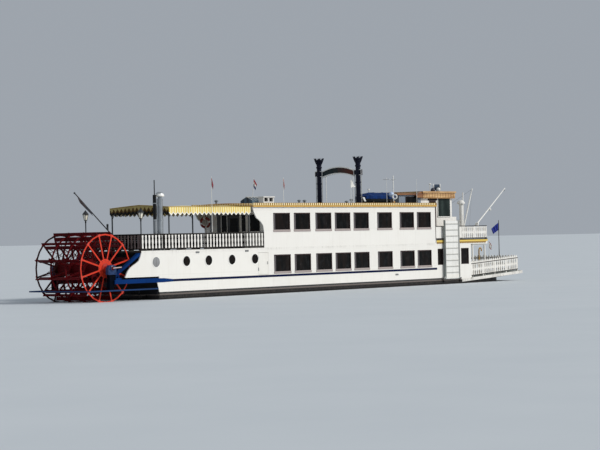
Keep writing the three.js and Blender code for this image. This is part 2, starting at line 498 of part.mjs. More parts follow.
// Paddle wheel: shaft and drum, two outer discs, and a core of two inner discs with the float boards
function acrossBar(radius, y0, y1, sides) {
  return bar([0, y0, 0], [0, y1, 0], radius, sides);
}
const polar = (radius, degrees) => {
  const angle = THREE.MathUtils.degToRad(degrees);
  return [radius * Math.cos(angle), radius * Math.sin(angle)];
};
const SPOKE_STEP = 360 / WHEEL.spokes;
const halfSpokeAngle = (radius) => THREE.MathUtils.radToDeg(Math.asin(WHEEL.spoke / 2 / radius));
function wheelDisc(y, bore, reach) {
  const rimOut = WHEEL.rim + WHEEL.rimDepth / 2;
  const rimIn = WHEEL.rim - WHEEL.rimDepth / 2;
  const outline = [];
  const holes = [];
  for (let i = 0; i < WHEEL.spokes; i += 1) {
    const angle = WHEEL.firstSpoke + SPOKE_STEP * i;
    const [outer, inner, tip, hub] = [rimOut, rimIn, reach, WHEEL.hub].map(halfSpokeAngle);
    outline.push(
      polar(rimOut, angle - outer), polar(reach, angle - tip), polar(reach, angle + tip),
      polar(rimOut, angle + outer), polar(rimOut, angle + SPOKE_STEP / 2));
    holes.push([
      polar(WHEEL.hub, angle + hub), polar(WHEEL.hub, angle + SPOKE_STEP - hub),
      polar(rimIn, angle + SPOKE_STEP - inner), polar(rimIn, angle + SPOKE_STEP / 2),
      polar(rimIn, angle + inner)]);
  }
  const shape = shapeOf(outline);
  for (const hole of holes) shape.holes.push(new THREE.Path(hole.map(([x, z]) => new THREE.Vector2(x, z))));
  const geometry = new THREE.ExtrudeGeometry(shape, { depth: WHEEL.discThick, bevelEnabled: false });
  geometry.rotateX(Math.PI / 2);
  geometry.translate(0, y + WHEEL.discThick / 2, 0);
  const parts = [solid(geometry)];
  if (reach > rimOut + WHEEL.floatThick) {
    for (let i = 0; i < WHEEL.spokes; i += 1) {
      parts.push(box(1700, reach - 30, y - 20, y + 20, 0, WHEEL.spoke / 2 + WHEEL.floatThick - 8)
        .rotate(0, -(WHEEL.firstSpoke + SPOKE_STEP * i), 0));
    }
  }
  return join(parts).subtract(acrossBar(bore, y - 200, y + 200, WHEEL.boreSides));
}
const floats = [];
for (let i = 0; i < WHEEL.spokes; i += 1) {
  const angle = WHEEL.firstSpoke + 360 * i / WHEEL.spokes;
  const low = WHEEL.spoke / 2 + SEAM;
  for (const [inner, outer] of [[1660, 1885], [1995, WHEEL.reach]]) {
    floats.push(box(inner, outer, -WHEEL.floatHalf, WHEEL.floatHalf, low, low + WHEEL.floatThick)
      .rotate(0, -angle, 0));
  }
}
const wheelParts = [
  ['wheel_shaft', join([
    acrossBar(SHAFT.journal, -GIRDER.outer - 30, GIRDER.outer + 30, WHEEL.boreSides),
    acrossBar(SHAFT.drum, -SHAFT.drumHalf, SHAFT.drumHalf, WHEEL.boreSides),
  ]), DARK_RED],
  ['wheel_disc_starboard', wheelDisc(-WHEEL.discY, SHAFT.journal + SEAM, WHEEL.outerReach), RED],
  ['wheel_disc_port', wheelDisc(WHEEL.discY, SHAFT.journal + SEAM, WHEEL.outerReach), RED],
  ['wheel_core', join([
    wheelDisc(-WHEEL.innerDiscY, SHAFT.drum + SEAM, WHEEL.reach),
    wheelDisc(WHEEL.innerDiscY, SHAFT.drum + SEAM, WHEEL.reach),
    ...floats,
  ]), DARK_RED],
];
for (const [name, manifold, colour] of wheelParts) {
  add(name, manifold, colour, 0.5).position.set(SHAFT.x, 0, SHAFT.z);
}

// Rudders under the counter, each on a stock through the shelf
for (const [name, side] of SIDES) {
  const blade = sidePlate([
    [120, RUDDER.top], [120, RUDDER.low], [-RUDDER.chord + 200, RUDDER.low], [-RUDDER.chord + 120, -300],
    [-RUDDER.chord + 300, RUDDER.top],
  ], -RUDDER.thick / 2, RUDDER.thick / 2);
  const stock = bar([0, 0, -600], [0, 0, 620], RUDDER.stock, 16);
  const collar = bar([0, 0, 290 + RUNNING], [0, 0, 360], RUDDER.stock + 45, 12);
  const tiller = box(-60, 360, -40, 40, 520, 600).rotate(0, 0, 180);
  add(`rudder_${name}`, join([blade, stock, collar, tiller]), 0x2a2a2e, 0.6)
    .position.set(RUDDER.stockX, side * RUDDER.y, 0);
}

// Boarding gangway, stowed upright on the starboard side and hinged at its foot
const gangway = [
  box(60, gangwayWidth - 60, -60, -20, 0, GANGWAY.length),
  ...[0, gangwayWidth - 70].map((x) => box(x, x + 70, -110, 0, 0, GANGWAY.length + 60)),
  box(-90, gangwayWidth + 90, -50, -10, -20, 110),
  bar([-160, 0, 0], [gangwayWidth + 160, 0, 0], GANGWAY.pin, 12),
];
for (let i = 1; i <= GANGWAY.cleats; i += 1) {
  const z = i * GANGWAY.length / (GANGWAY.cleats + 0.5);
  gangway.push(box(30, gangwayWidth - 30, -90, -50, z - 25, z + 25));
}
add('gangway', join(gangway), WHITE, 0.6).position.set(GANGWAY.aft, GANGWAY.y, GANGWAY.foot);

// Exhaust pipes on the after deck
add('exhaust_silver', turned([
  [0, 0], [260, 0], [260, 60], [185, 80], [185, 3040], [120, 3045], [120, 3150], [270, 3170], [230, 3350],
  [120, 3430], [0, 3440],
], 2950, -2060, DECK2.high + SEAM, 14), 0xb9bcc0, 0.35, 0.8);
add('exhaust_black', turned([
  [0, 0], [160, 0], [160, 40], [105, 60], [105, 3260], [30, 3262], [30, 4130], [0, 4130],
], 2520, -2060, DECK2.high + SEAM, 10), 0x1b1c20, 0.6);

// Twin funnels abreast with crowned tops, and the arched board between them
const FUNNEL = { x: 22400, y: 1670, radius: 160 };
const roofTopAt = (y) => camber(y, ROOF.half, ROOF.edge, ROOF.crown);
const FUNNEL_COLLAR = { low: 7520, high: 7900 };
for (const [name, side] of SIDES) {
  const base = roofTopAt(FUNNEL.y - 230) + SEAM;
  const up = (z) => z - base;
  const stack = turned([
    [0, 0], [230, 0], [230, 60], [FUNNEL.radius, 100], [FUNNEL.radius, up(7000)], [190, up(7020)],
    [190, up(7080)], [FUNNEL.radius, up(7100)], [FUNNEL.radius, up(8080)], [200, up(8110)],
    [200, up(8190)], [FUNNEL.radius, up(8220)], [175, up(8330)], [290, up(8640)], [270, up(8640)],
    [150, up(8350)], [120, up(8000)], [0, up(8000)],
  ], FUNNEL.x, side * FUNNEL.y, base, 12);
  const crown = [];
  for (let i = 0; i < 8; i += 1) {
    const angle = 45 * i;
    const tooth = sidePlate([[262, 8600], [292, 8600], [340, 8760]], -45, 45).rotate(0, 0, angle);
    crown.push(tooth.translate(FUNNEL.x, side * FUNNEL.y, 0));
  }
  const collar = box(FUNNEL.x - 60, FUNNEL.x + 60, side * FUNNEL.y - 330, side * FUNNEL.y + 330,
    FUNNEL_COLLAR.low, FUNNEL_COLLAR.high);
  add(`funnel_${name}`, join([stack, collar, ...crown]), NAVY, 0.4);
}
const archEnd = FUNNEL.y - 330 - SEAM;
const archSteps = 10;
const archLine = (low, rise) => Array.from({ length: archSteps + 1 }, (_, i) => {
  const y = archEnd - 2 * archEnd * i / archSteps;
  return [y, low + rise * (1 - (y / archEnd) ** 2)];
});
add('arch_board', frameSection([
  ...archLine(7480, 220).reverse(), ...archLine(7850, 260),
], FUNNEL.x - 25, FUNNEL.x + 25), NAVY, 0.5);

// Covered dinghy in its chocks beside the wheelhouse
const DINGHY = { aft: 22950, fore: 26600, y: -1450, keel: 5700, gunwale: 6130, ridge: 6390 };
const DINGHY_SECTIONS = [
  // station share, half width, keel rise, ridge drop
  [0, 470, 60, 60], [0.12, 590, 20, 20], [0.4, 650, 0, 0], [0.7, 560, 20, 0], [0.88, 340, 80, 30],
  [1, 60, 220, 90],
];
function loft(rings) {
  const count = rings[0].length;
  const vertices = rings.flat();
  const triangles = [];
  for (let r = 0; r + 1 < rings.length; r += 1) {
    for (let i = 0; i < count; i += 1) {
      const a = r * count + i;
      const b = r * count + (i + 1) % count;
      triangles.push([a, b, b + count], [a, b + count, a + count]);
    }
  }
  for (let i = 1; i + 1 < count; i += 1) {
    const last = (rings.length - 1) * count;
    triangles.push([0, i + 1, i], [last, last + i, last + i + 1]);
  }
  const geometry = new THREE.BufferGeometry();
  geometry.setAttribute('position', new THREE.Float32BufferAttribute(vertices.flat(), 3));
  geometry.setIndex(triangles.flat());
  return solid(geometry);
}
const dinghyRings = DINGHY_SECTIONS.map(([share, half, rise, drop]) => {
  const x = DINGHY.aft + share * (DINGHY.fore - DINGHY.aft);
  const keel = DINGHY.keel + rise;
  const ridge = DINGHY.ridge - drop;
  const side = [
    [0.55, keel + 40], [0.9, keel + (DINGHY.gunwale - keel) * 0.55], [1, DINGHY.gunwale],
    [0.55, DINGHY.gunwale + (ridge - DINGHY.gunwale) * 0.75],
  ];
  return [
    [x, DINGHY.y, keel],
    ...side.map(([w, z]) => [x, DINGHY.y + w * half, z]),
    [x, DINGHY.y, ridge],
    ...side.map(([w, z]) => [x, DINGHY.y - w * half, z]).reverse(),
  ];
});
const chocks = [23700, 25600].map((x) => box(x - 60, x + 60, DINGHY.y - 480, DINGHY.y + 480, 5600, 5830));
add('dinghy', join([loft(dinghyRings), ...chocks]).subtract(roofSlab.translate(0, 0, SEAM)), 0x1d4c9c, 0.8);

// Roof fittings: a vent box with two mouths, a glazed skylight and a folding mast
const ventBox = join([
  box(12640, 13640, -1750, -1350, ROOF.edge, 6060),
  box(12590, 13690, -1800, -1300, 6020, 6080),
])
  .subtract(box(12720, 13080, -1850, -1500, 5760, 5990))
  .subtract(box(13200, 13560, -1850, -1500, 5760, 5990));
add('vent_box', ventBox.subtract(roofSlab.translate(0, 0, SEAM)), WHITE, 0.5);
const skylight = frameSection([
  [-500, ROOF.edge], [500, ROOF.edge], [500, 5850], [0, 6080], [-500, 5850],
], 13000, 14200);
add('skylight', skylight.subtract(roofSlab.translate(0, 0, SEAM)), 0x6f8796, 0.3, 0.2);
add('roof_mast', join([
  bar([0, 0, -40], [0, 0, MAST.top - MAST.pivot], MAST.radius, 10),
  bar([0, -230, 1500], [0, 230, 1500], 18, 8),
]).subtract(acrossPin(0, -60, 60, 0, MAST.pin + 4)), WHITE, 0.5).position.set(MAST.x, MAST.y, MAST.pivot);

// Fore deck: mushroom ventilator with its pole, the raked mast and the boom over the bow
add('ventilator', join([
  turned([
    [0, 0], [200, 0], [200, 50], [135, 70], [135, 2500], [290, 2560], [290, 2640], [170, 2800], [0, 2840],
  ], 35150, -1000, DECK2.foreHigh + SEAM, 12),
  bar([35400, -1000, DECK2.foreHigh + SEAM], [35400, -1000, 6450], 48, 10),
  box(35150, 35400, -1030, -970, 5000, 5100),
]), WHITE, 0.45);
add('fore_mast', join([
  bar([35640, -620, DECK2.foreHigh + 60], [37130, -620, 6750], 66, 12, 50),
  box(35520, 35780, -740, -500, DECK2.foreHigh + SEAM, DECK2.foreHigh + 260),
]), WHITE, 0.45);
const BOOM = { x: 36290, y: -1580, z: 4190, length: 4500, rise: 35, eye: 60, pin: 20 };
const foreCap = DECK2.foreHigh + RAIL.height + 2 * SEAM;
add('boom_heel', join([
  box(BOOM.x - 170, BOOM.x + 70, BOOM.y - 120, BOOM.y + 120, foreCap, foreCap + 35),
  ...[-110, 75].map((y) => box(BOOM.x - 60, BOOM.x + 60, BOOM.y + y, BOOM.y + y + 35, foreCap, BOOM.z + 65)),
  acrossPin(BOOM.x, BOOM.y - 100, BOOM.y + 100, BOOM.z, BOOM.pin),
]), WHITE, 0.45);
add('boom', join([
  bar([0, 0, 0], [BOOM.length, 0, 0], 52, 10, 34),
  acrossPin(0, -60, 60, 0, BOOM.eye),
  turned([[0, 0], [70, 20], [100, 100], [70, 180], [0, 200]], 0, 0, 0, 10).translate(1950, 0, -230),
]).subtract(acrossPin(0, -90, 90, 0, BOOM.pin + 5)).rotate(0, -BOOM.rise, 0), WHITE, 0.45).position.set(BOOM.x, BOOM.y, BOOM.z);

export default group;
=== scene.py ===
"""Looks of a sternwheel paddle steamer, a 1:2 scale model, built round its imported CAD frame.

Places are given as the full-size ship's, in metres: X forward from a frame 1.4 m
forward of the paddle shaft, Y to port, Z up from the waterline. ship() turns them
into the model's.
"""
import math

import bmesh
import bpy
from mathutils import Matrix, Vector


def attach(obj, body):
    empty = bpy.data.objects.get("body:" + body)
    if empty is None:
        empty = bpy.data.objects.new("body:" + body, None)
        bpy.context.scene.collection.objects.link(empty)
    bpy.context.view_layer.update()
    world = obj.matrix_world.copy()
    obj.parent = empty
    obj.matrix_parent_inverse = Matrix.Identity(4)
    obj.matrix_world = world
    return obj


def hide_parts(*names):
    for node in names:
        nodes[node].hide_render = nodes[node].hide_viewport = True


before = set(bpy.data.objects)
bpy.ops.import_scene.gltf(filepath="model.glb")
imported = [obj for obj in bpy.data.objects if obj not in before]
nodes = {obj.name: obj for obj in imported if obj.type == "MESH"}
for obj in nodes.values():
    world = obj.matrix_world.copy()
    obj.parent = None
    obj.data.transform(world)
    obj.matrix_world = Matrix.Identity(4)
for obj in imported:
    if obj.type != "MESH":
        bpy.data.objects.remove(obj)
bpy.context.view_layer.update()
scene = bpy.context.scene

# ---------------------------------------------------------------- The view
# A long lens on the bank, off the starboard quarter and 4.5 m over the keel's foot.
# The floor lies at the waterline, where the boat floats.
SCALE = 0.5  # the model is half the ship's size
MIDSHIP, DRAUGHT = 21.5, 1.05  # the model's origin lies here, on the flat bottom


def ship(x, y, z):
    """A place on the full-size ship as a point of the model."""
    return Vector(((x - MIDSHIP) * SCALE, y * SCALE, (z + DRAUGHT) * SCALE))


def level(z):
    """A height on the ship as one of the model."""
    return ship(0, 0, z).z


WATERLINE = level(0)
EYE = (-79.8, -81.7, 3.45)
lens = bpy.data.cameras.new("Long lens")
lens.lens, lens.sensor_width = 117, 36
lens.clip_start, lens.clip_end = 1, 4000
camera = bpy.data.objects.new("Camera", lens)
scene.collection.objects.link(camera)
heading, tilt, roll = (math.radians(a) for a in (39.8, 0.37, 1.2))
forward = Vector((math.cos(heading) * math.cos(tilt), math.sin(heading) * math.cos(tilt), math.sin(tilt)))
right = Vector((math.sin(heading), -math.cos(heading), 0))
up = right.cross(forward)
right, up = (right * math.cos(roll) - up * math.sin(roll), right * math.sin(roll) + up * math.cos(roll))
camera.matrix_world = Matrix.Translation(ship(*EYE)) @ Matrix((right, up, -forward)).transposed().to_4x4()
scene.camera = camera

# Soft sun from ahead on the starboard side, and a pale blue sky all round
sun_data = bpy.data.lights.new("Soft sun", "SUN")
sun_data.energy, sun_data.angle, sun_data.color = 2.5, math.radians(12), (1.0, 0.97, 0.93)
sun = bpy.data.objects.new("Soft sun", sun_data)
sun.rotation_mode = "QUATERNION"
sun.rotation_quaternion = Vector((-0.42, 0.72, -0.55)).to_track_quat("-Z", "Y")
scene.collection.objects.link(sun)
world = bpy.data.worlds.new("Pale studio")
world.use_nodes = True
world.node_tree.nodes["Background"].inputs["Color"].default_value = (0.74, 0.81, 0.90, 1)
world.node_tree.nodes["Background"].inputs["Strength"].default_value = 0.46
scene.world = world
scene.view_settings.view_transform = "Standard"


def colour(code):
    """An sRGB hex colour in the linear values that a shader takes."""
    parts = [int(code[i:i + 2], 16) / 255 for i in (1, 3, 5)]
    return tuple(c / 12.92 if c <= 0.04045 else ((c + 0.055) / 1.055) ** 2.4 for c in parts) + (1.0,)


def put(tree, kind, settings, out=None):
    """Adds a node and returns its output. A setting is an attribute, or an input's value, hex colour or link."""
    made = tree.nodes.new(kind)
    for key, value in settings.items():
        if isinstance(key, str) and key.islower():
            setattr(made, key, value)
            continue
        named = [s for s in made.inputs if s.identifier == key]
        socket = named[0] if named else made.inputs[key]
        if isinstance(value, bpy.types.NodeSocket):
            tree.links.new(value, socket)
        else:
            socket.default_value = colour(value) if isinstance(value, str) else value
    if out:
        return made.outputs[out]
    return next((o for o in made.outputs if o.enabled), None)


def blank(name):
    """A material with an empty tree, and the object's own coordinates."""
    made = bpy.data.materials.new(name)
    made.use_nodes = True
    made.node_tree.nodes.clear()
    return made, made.node_tree, put(made.node_tree, "ShaderNodeTexCoord", {}, "Object")


def coats(tree, tone, *layers):
    """One tone laid over another: each layer is a mask and the tone that it lets through."""
    for mask, top in layers:
        tone = put(tree, "ShaderNodeMix", {
            "data_type": "RGBA", "Factor_Float": mask, "A_Color": tone, "B_Color": top})
    return tone


def surfaced(made, settings):
    """The material, with its shader set and joined to the output."""
    shader = put(made.node_tree, "ShaderNodeBsdfPrincipled", settings)
    put(made.node_tree, "ShaderNodeOutputMaterial", {"Surface": shader})
    return made


def painted(name, body, worn, rough, streak=0.35, low=None, peel=0.12, pattern=None, metal=0.0, coat=0.0, spec=0.5):
    """Paint on steel or wood: the eye gets a mottled tone and gloss, rain streaks, dirt towards low, a brushed skin."""
    made, tree, place = blank(name)
    mottle = put(tree, "ShaderNodeTexNoise", {"Vector": place, "Scale": 1.7, "Detail": 6, "Roughness": 0.62})
    run = put(tree, "ShaderNodeMapping", {"Vector": place, "Scale": (13, 13, 0.8)})
    drip = put(tree, "ShaderNodeTexNoise", {"Vector": run, "Scale": 1, "Detail": 5, "Roughness": 0.7})
    marks = put(tree, "ShaderNodeMapRange", {"Value": drip, "From Min": 0.5, "From Max": 0.82, "To Max": streak})
    blotch = put(tree, "ShaderNodeMapRange", {
        "Value": mottle, "From Min": 0.48, "From Max": 0.8, "To Max": streak * 0.7})
    worn_by = put(tree, "ShaderNodeMath", {"operation": "ADD", 0: marks, 1: blotch, "use_clamp": True})
    if low is not None:
        height = put(tree, "ShaderNodeSeparateXYZ", {0: place}, "Z")
        near = put(tree, "ShaderNodeMapRange", {
            "Value": height, "From Min": low + 0.32, "From Max": low, "To Max": 0.55})
        splash = put(tree, "ShaderNodeMath", {"operation": "MULTIPLY", 0: near, 1: drip})
        worn_by = put(tree, "ShaderNodeMath", {"operation": "ADD", 0: worn_by, 1: splash, "use_clamp": True})
    skin = coats(tree, pattern(tree, place) if pattern else body, (worn_by, worn))
    gloss = put(tree, "ShaderNodeMapRange", {"Value": mottle, "To Min": rough - 0.08, "To Max": rough + 0.16})
    grain = put(tree, "ShaderNodeTexNoise", {"Vector": place, "Scale": 70, "Detail": 3})
    relief = put(tree, "ShaderNodeBump", {"Height": grain, "Strength": peel, "Distance": 0.004})
    return surfaced(made, {
        "Base Color": skin, "Roughness": gloss, "Metallic": metal, "Normal": relief,
        "Coat Weight": coat, "Coat Roughness": 0.12, "Specular IOR Level": spec})


def block(mesh, x, y, z):
    """A box between two stations, breadths and heights."""
    corners = [mesh.verts.new(ship(a, b, c)) for a in sorted(x) for b in sorted(y) for c in sorted(z)]
    for ring in ((0, 1, 3, 2), (4, 6, 7, 5), (0, 4, 5, 1), (2, 3, 7, 6), (0, 2, 6, 4), (1, 5, 7, 3)):
        mesh.faces.new([corners[i] for i in ring])


def turned(mesh, profile, foot, axis=(0, 0, 1), sides=16, closed=False):
    """A turned piece: (radius, height) pairs up an axis, capped at its ends or closed on itself."""
    turn = Vector(axis).to_track_quat("Z", "X").to_matrix()
    start = ship(*foot)
    rings = []
    for radius, height in profile:
        count = sides if radius > 0 else 1
        rings.append([mesh.verts.new(start + turn @ Vector((
            radius * SCALE * math.cos(math.tau * i / count), radius * SCALE * math.sin(math.tau * i / count),
            height * SCALE))) for i in range(count)])
    if closed:
        rings.append(rings[0])
    for low, high in zip(rings, rings[1:]):
        for i in range(sides):
            j = (i + 1) % sides
            ring = [low[i % len(low)], low[j % len(low)], high[j % len(high)], high[i % len(high)]]
            mesh.faces.new(list(dict.fromkeys(ring)))
    if not closed:
        for ring in (rings[0][::-1], rings[-1]):
            if len(ring) > 1:
                mesh.faces.new(ring)


def rod(mesh, start, end, radius, tip=None, sides=8):
    """A round bar between two places."""
    run = Vector(end) - Vector(start)
    turned(mesh, [(radius, 0), (radius if tip is None else tip, run.length)], start, run, sides)


def bent(mesh, path, radius, sides):
    """A round bar along a path."""
    for start, end in zip(path, path[1:]):
        rod(mesh, start, end, radius, sides=sides)


def plate(mesh, outline, depth):
    """A flat plate: the places round its edge, and the move from them to its other face."""
    near = [mesh.verts.new(ship(*p)) for p in outline]
    far = [mesh.verts.new(v.co + Vector(depth) * SCALE) for v in near]
    mesh.faces.new(near)
    mesh.faces.new(far[::-1])
    for i, v in enumerate(near):
        j = (i + 1) % len(near)
        mesh.faces.new((v, far[i], far[j], near[j]))


def upright(y, *outline):
    """Places from stations and heights on the fore-and-aft plane at a breadth."""
    return [(x, y, z) for x, z in outline]


def build(name, mesh, finish):
    """The mesh as an object with its faces outwards."""
    bmesh.ops.recalc_face_normals(mesh, faces=mesh.faces)
    data = bpy.data.meshes.new(name)
    mesh.to_mesh(data)
    mesh.free()
    data.materials.append(finish)
    thing = bpy.data.objects.new(name, data)
    scene.collection.objects.link(thing)
    return thing


def plain(thing):
    """The modifiers' result becomes the mesh."""
    bpy.context.view_layer.update()
    ready = thing.evaluated_get(bpy.context.evaluated_depsgraph_get())
    data = bpy.data.meshes.new_from_object(ready)
    thing.modifiers.clear()
    thing.data = data
    return thing


def fit(thing, body="ship", edge=0.0, smooth=0):
    """Eases the edges, smooths the rounds and fixes the piece to its body."""
    if edge:
        ease = thing.modifiers.new("Eased edges", "BEVEL")
        ease.width, ease.segments, ease.limit_method = edge * SCALE, 2, "ANGLE"
        plain(thing)
    if smooth:
        thing.data.shade_smooth()
        thing.data.set_sharp_from_angle(angle=math.radians(smooth))
    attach(thing, body)
    return thing


# Copies of one form, each a step and a turn on from the last
stepping = bpy.data.node_groups.new("Copies in step", "GeometryNodeTree")
for label, kind in (("Form", "Geometry"), ("Count", "Int"), ("Step", "Vector"), ("Centre", "Vector"),
                    ("Turn", "Vector"), ("Finish", "Material")):
    stepping.interface.new_socket(label, in_out="INPUT", socket_type="NodeSocket" + kind)
stepping.interface.new_socket("Copies", in_out="OUTPUT", socket_type="NodeSocketGeometry")
entry = stepping.nodes.new("NodeGroupInput").outputs
back = put(stepping, "ShaderNodeVectorMath", {"operation": "SCALE", 0: entry["Centre"], "Scale": -1.0})
homed = put(stepping, "GeometryNodeTransform", {"Geometry": entry["Form"], "Translation": back})
line = put(stepping, "GeometryNodeMeshLine", {
    "mode": "OFFSET", "Count": entry["Count"], "Start Location": entry["Centre"], "Offset": entry["Step"]})
nth = put(stepping, "GeometryNodeInputIndex", {})
turning = put(stepping, "ShaderNodeVectorMath", {"operation": "SCALE", 0: entry["Turn"], "Scale": nth})
swung = put(stepping, "FunctionNodeEulerToRotation", {"Euler": turning})
spread = put(stepping, "GeometryNodeInstanceOnPoints", {"Points": line, "Instance": homed, "Rotation": swung})
real = put(stepping, "GeometryNodeRealizeInstances", {"Geometry": spread})
dressed = put(stepping, "GeometryNodeSetMaterial", {"Geometry": real, "Material": entry["Finish"]})
put(stepping, "NodeGroupOutput", {"Copies": dressed})
KEYS = {s.name: s.identifier for s in stepping.interface.items_tree}


def copies(thing, count, step=(0, 0, 0), centre=(0, 0, 0), turn=(0, 0, 0)):
    """Repeats a piece in step or about a centre, as one plain mesh."""
    row = thing.modifiers.new("Copies", "NODES")
    row.node_group = stepping
    row[KEYS["Count"]] = count
    row[KEYS["Step"]] = tuple(s * SCALE for s in step)
    row[KEYS["Centre"]] = tuple(ship(*centre))
    row[KEYS["Turn"]] = tuple(math.radians(a) for a in turn)
    row[KEYS["Finish"]] = thing.data.materials[0]
    return plain(thing)


def boxed(name, finish, boxes, count=1, step=(0, 0, 0), edge=0.0, body="ship"):
    """A piece of boxes, each its stations, breadths and heights, repeated in step."""
    mesh = bmesh.new()
    for box in boxes:
        block(mesh, *box)
    thing = build(name, mesh, finish)
    return fit(copies(thing, count, step) if count > 1 else thing, body, edge)


def barred(name, finish, bars, body="ship", smooth=0):
    """A piece of round bars, each given as rod() takes it."""
    mesh = bmesh.new()
    for bar in bars:
        rod(mesh, *bar)
    return fit(build(name, mesh, finish), body, smooth=smooth)


# Bare pale floor, its grain too slight to take the eye
FLOOR_REACH = 1500
pale_floor, tree, place = blank("Pale matte floor")
speck = put(tree, "ShaderNodeTexNoise", {"Vector": place, "Scale": 0.4, "Detail": 4})
surfaced(pale_floor, {"Base Color": coats(tree, "#C4CBD0", (speck, "#CED4D8")), "Roughness": 0.75})
mesh = bmesh.new()
bmesh.ops.create_circle(mesh, cap_ends=True, segments=64, radius=FLOOR_REACH)
floor = build("floor", mesh, pale_floor)
floor.location.z = WATERLINE

# ---------------------------------------------------------------- Hull
# Welded barge hull in black bitumen, with a worn steel strake below the deck edge.
# The bow platform is plated over the stem, its edge white and its deck grey.
SIDES = (("starboard", -1), ("port", 1))
UP, AFTWARD = ((0, 0, 1), 0.7), ((-1, 0, 0), 0.5)  # ways to face, and the least cosine that counts
STEM = 32.9  # forward of this the side is white down to the platform's foot
PLATFORM_SLOPE, PLATFORM_FOOT = -0.0529, 0.2777


def dress(finish, *names):
    """Puts a finish on CAD nodes."""
    for name in names:
        nodes[name].data.materials[0] = finish


def facing(tree, way, least):
    """1 on faces that look along a way by the least cosine or more, 0 elsewhere."""
    side = put(tree, "ShaderNodeNewGeometry", {}, "True Normal")
    share = put(tree, "ShaderNodeVectorMath", {"operation": "DOT_PRODUCT", 0: side, 1: way}, "Value")
    return put(tree, "ShaderNodeMath", {"operation": "GREATER_THAN", 0: share, 1: least})


def within(tree, place, **reaches):
    """1 between stations x, breadths y or heights z, each a (low, high) of which one may be None, 0 elsewhere."""
    mask = 1.0
    for axis, reach in reaches.items():
        at = put(tree, "ShaderNodeSeparateXYZ", {0: place}, axis.upper())
        for test, edge in zip(("GREATER_THAN", "LESS_THAN"), reach):
            if edge is not None:
                limit = ship(edge, edge, edge)["xyz".index(axis)]
                past = put(tree, "ShaderNodeMath", {"operation": test, 0: at, 1: limit})
                mask = put(tree, "ShaderNodeMath", {"operation": "MULTIPLY", 0: past, 1: mask})
    return mask


def zones(base, *layers):
    """A pattern: a base tone, and over it a tone for each way that faces look or reach of places."""
    def tones(tree, place):
        return coats(tree, base, *(
            (facing(tree, *where) if isinstance(where, tuple) else within(tree, place, **where), tone)
            for where, tone in layers))
    return tones


def hull_zones(tree, place):
    """Black below, a brown-grey strake, a white platform edge over painted shadow on the stem under it, and grey decks.
    """
    x, z = (put(tree, "ShaderNodeSeparateXYZ", {0: place}, axis) for axis in "XZ")
    slope = put(tree, "ShaderNodeMath", {"operation": "MULTIPLY_ADD", 0: x, 1: PLATFORM_SLOPE, 2: z})
    platform = put(tree, "ShaderNodeMath", {"operation": "GREATER_THAN", 0: slope, 1: PLATFORM_FOOT})
    fore = within(tree, place, x=(STEM, None))
    edge = put(tree, "ShaderNodeMath", {"operation": "MULTIPLY", 0: platform, 1: fore})
    # forward of the stem the side under the platform is near black: painted shadow of the platform's overhang
    return coats(tree, "#141416", (within(tree, place, z=(0.26, None)), "#6E6560"), (fore, "#18181A"),
                 (edge, "#E9E6DF"), (facing(tree, *UP), "#7C8077"))


# Bitumen brushed on: a dull black with a soft, uneven shine, greyed along the water
dress(painted(
    "Bitumen and strake paint on welded plate", "#141416", "#4A433D", 0.5, 0.5, low=WATERLINE - 0.1,
    pattern=hull_zones, spec=0.25), "hull")
# Antifouling: matt and dark, scummed grey-green by the water
rudder_paint = painted("Antifouling paint, scummed", "#232427", "#4C4F45", 0.65, 0.7, spec=0.2)
# Hot-dip zinc: dull grey, cloudy with bloom
galvanised = painted("Galvanised steel", "#8D9294", "#6B6F70", 0.5, 0.5, metal=0.7)
# Bitumen rubbed off the heads: brown-black and matt
stud_paint = painted("Bitumen over the strake's studs", "#24211F", "#3A332E", 0.6, 0.4, spec=0.2)
for side, s in SIDES:
    dress(rudder_paint, f"rudder_{side}")
    mesh = bmesh.new()
    stud = (2.6, s * 2.558, 0.19)
    turned(mesh, [(0.028, 0), (0.028, 0.022), (0.016, 0.034), (0, 0.036)], stud, (0, s, 0), 8)
    fit(copies(build(f"strake_studs_{side}", mesh, stud_paint), 51, (0.6, 0, 0), stud))

# ---------------------------------------------------------------- Side walls
# Welded steel plate in gloss white ship's enamel, each course 1.25 m high, with the
# run-off of years below every ledge. A narrow blue belt is painted on a half-round bar.
BELT = (1.035, 1.17)


def plating(tree, place):
    """Warm white with the seams of the plates just showing, over a black line of painted shadow along the strake's top
    and the strake's brown-grey.
    """
    x, y, z = (put(tree, "ShaderNodeSeparateXYZ", {0: place}, axis) for axis in "XYZ")
    flat = put(tree, "ShaderNodeCombineXYZ", {"X": x, "Y": z, "Z": y})
    seams = put(tree, "ShaderNodeTexBrick", {
        "Vector": flat, "Scale": 1.0, "Brick Width": 1.5, "Row Height": 0.625, "Mortar Size": 0.004,
        "Color1": "#F3F0E9", "Color2": "#EFECE5", "Mortar": "#E6E3DC"}, "Color")
    # the black band from 0.345 to 0.44 is painted shadow along the top of the strake
    return coats(tree, "#6E6560", (within(tree, place, z=(0.345, None)), "#151619"),
                 (within(tree, place, z=(0.44, None)), seams), (within(tree, place, x=(STEM, None)), seams))


def saloon_front(tree, place):
    """The same plating, with dark stained boards round the after door and the window beside it."""
    boards = within(tree, place, y=(-0.46, 1.45), z=(None, 5.05))
    return coats(tree, plating(tree, place), (boards, "#2B2725"))


# Gloss enamel gone satin: a clean warm white whose run-off only shows close to
white_paint = painted("White ship's enamel on steel plate", "#F2EFE8", "#B9AE9C", 0.34, 0.12, pattern=plating,
                      coat=0.25)
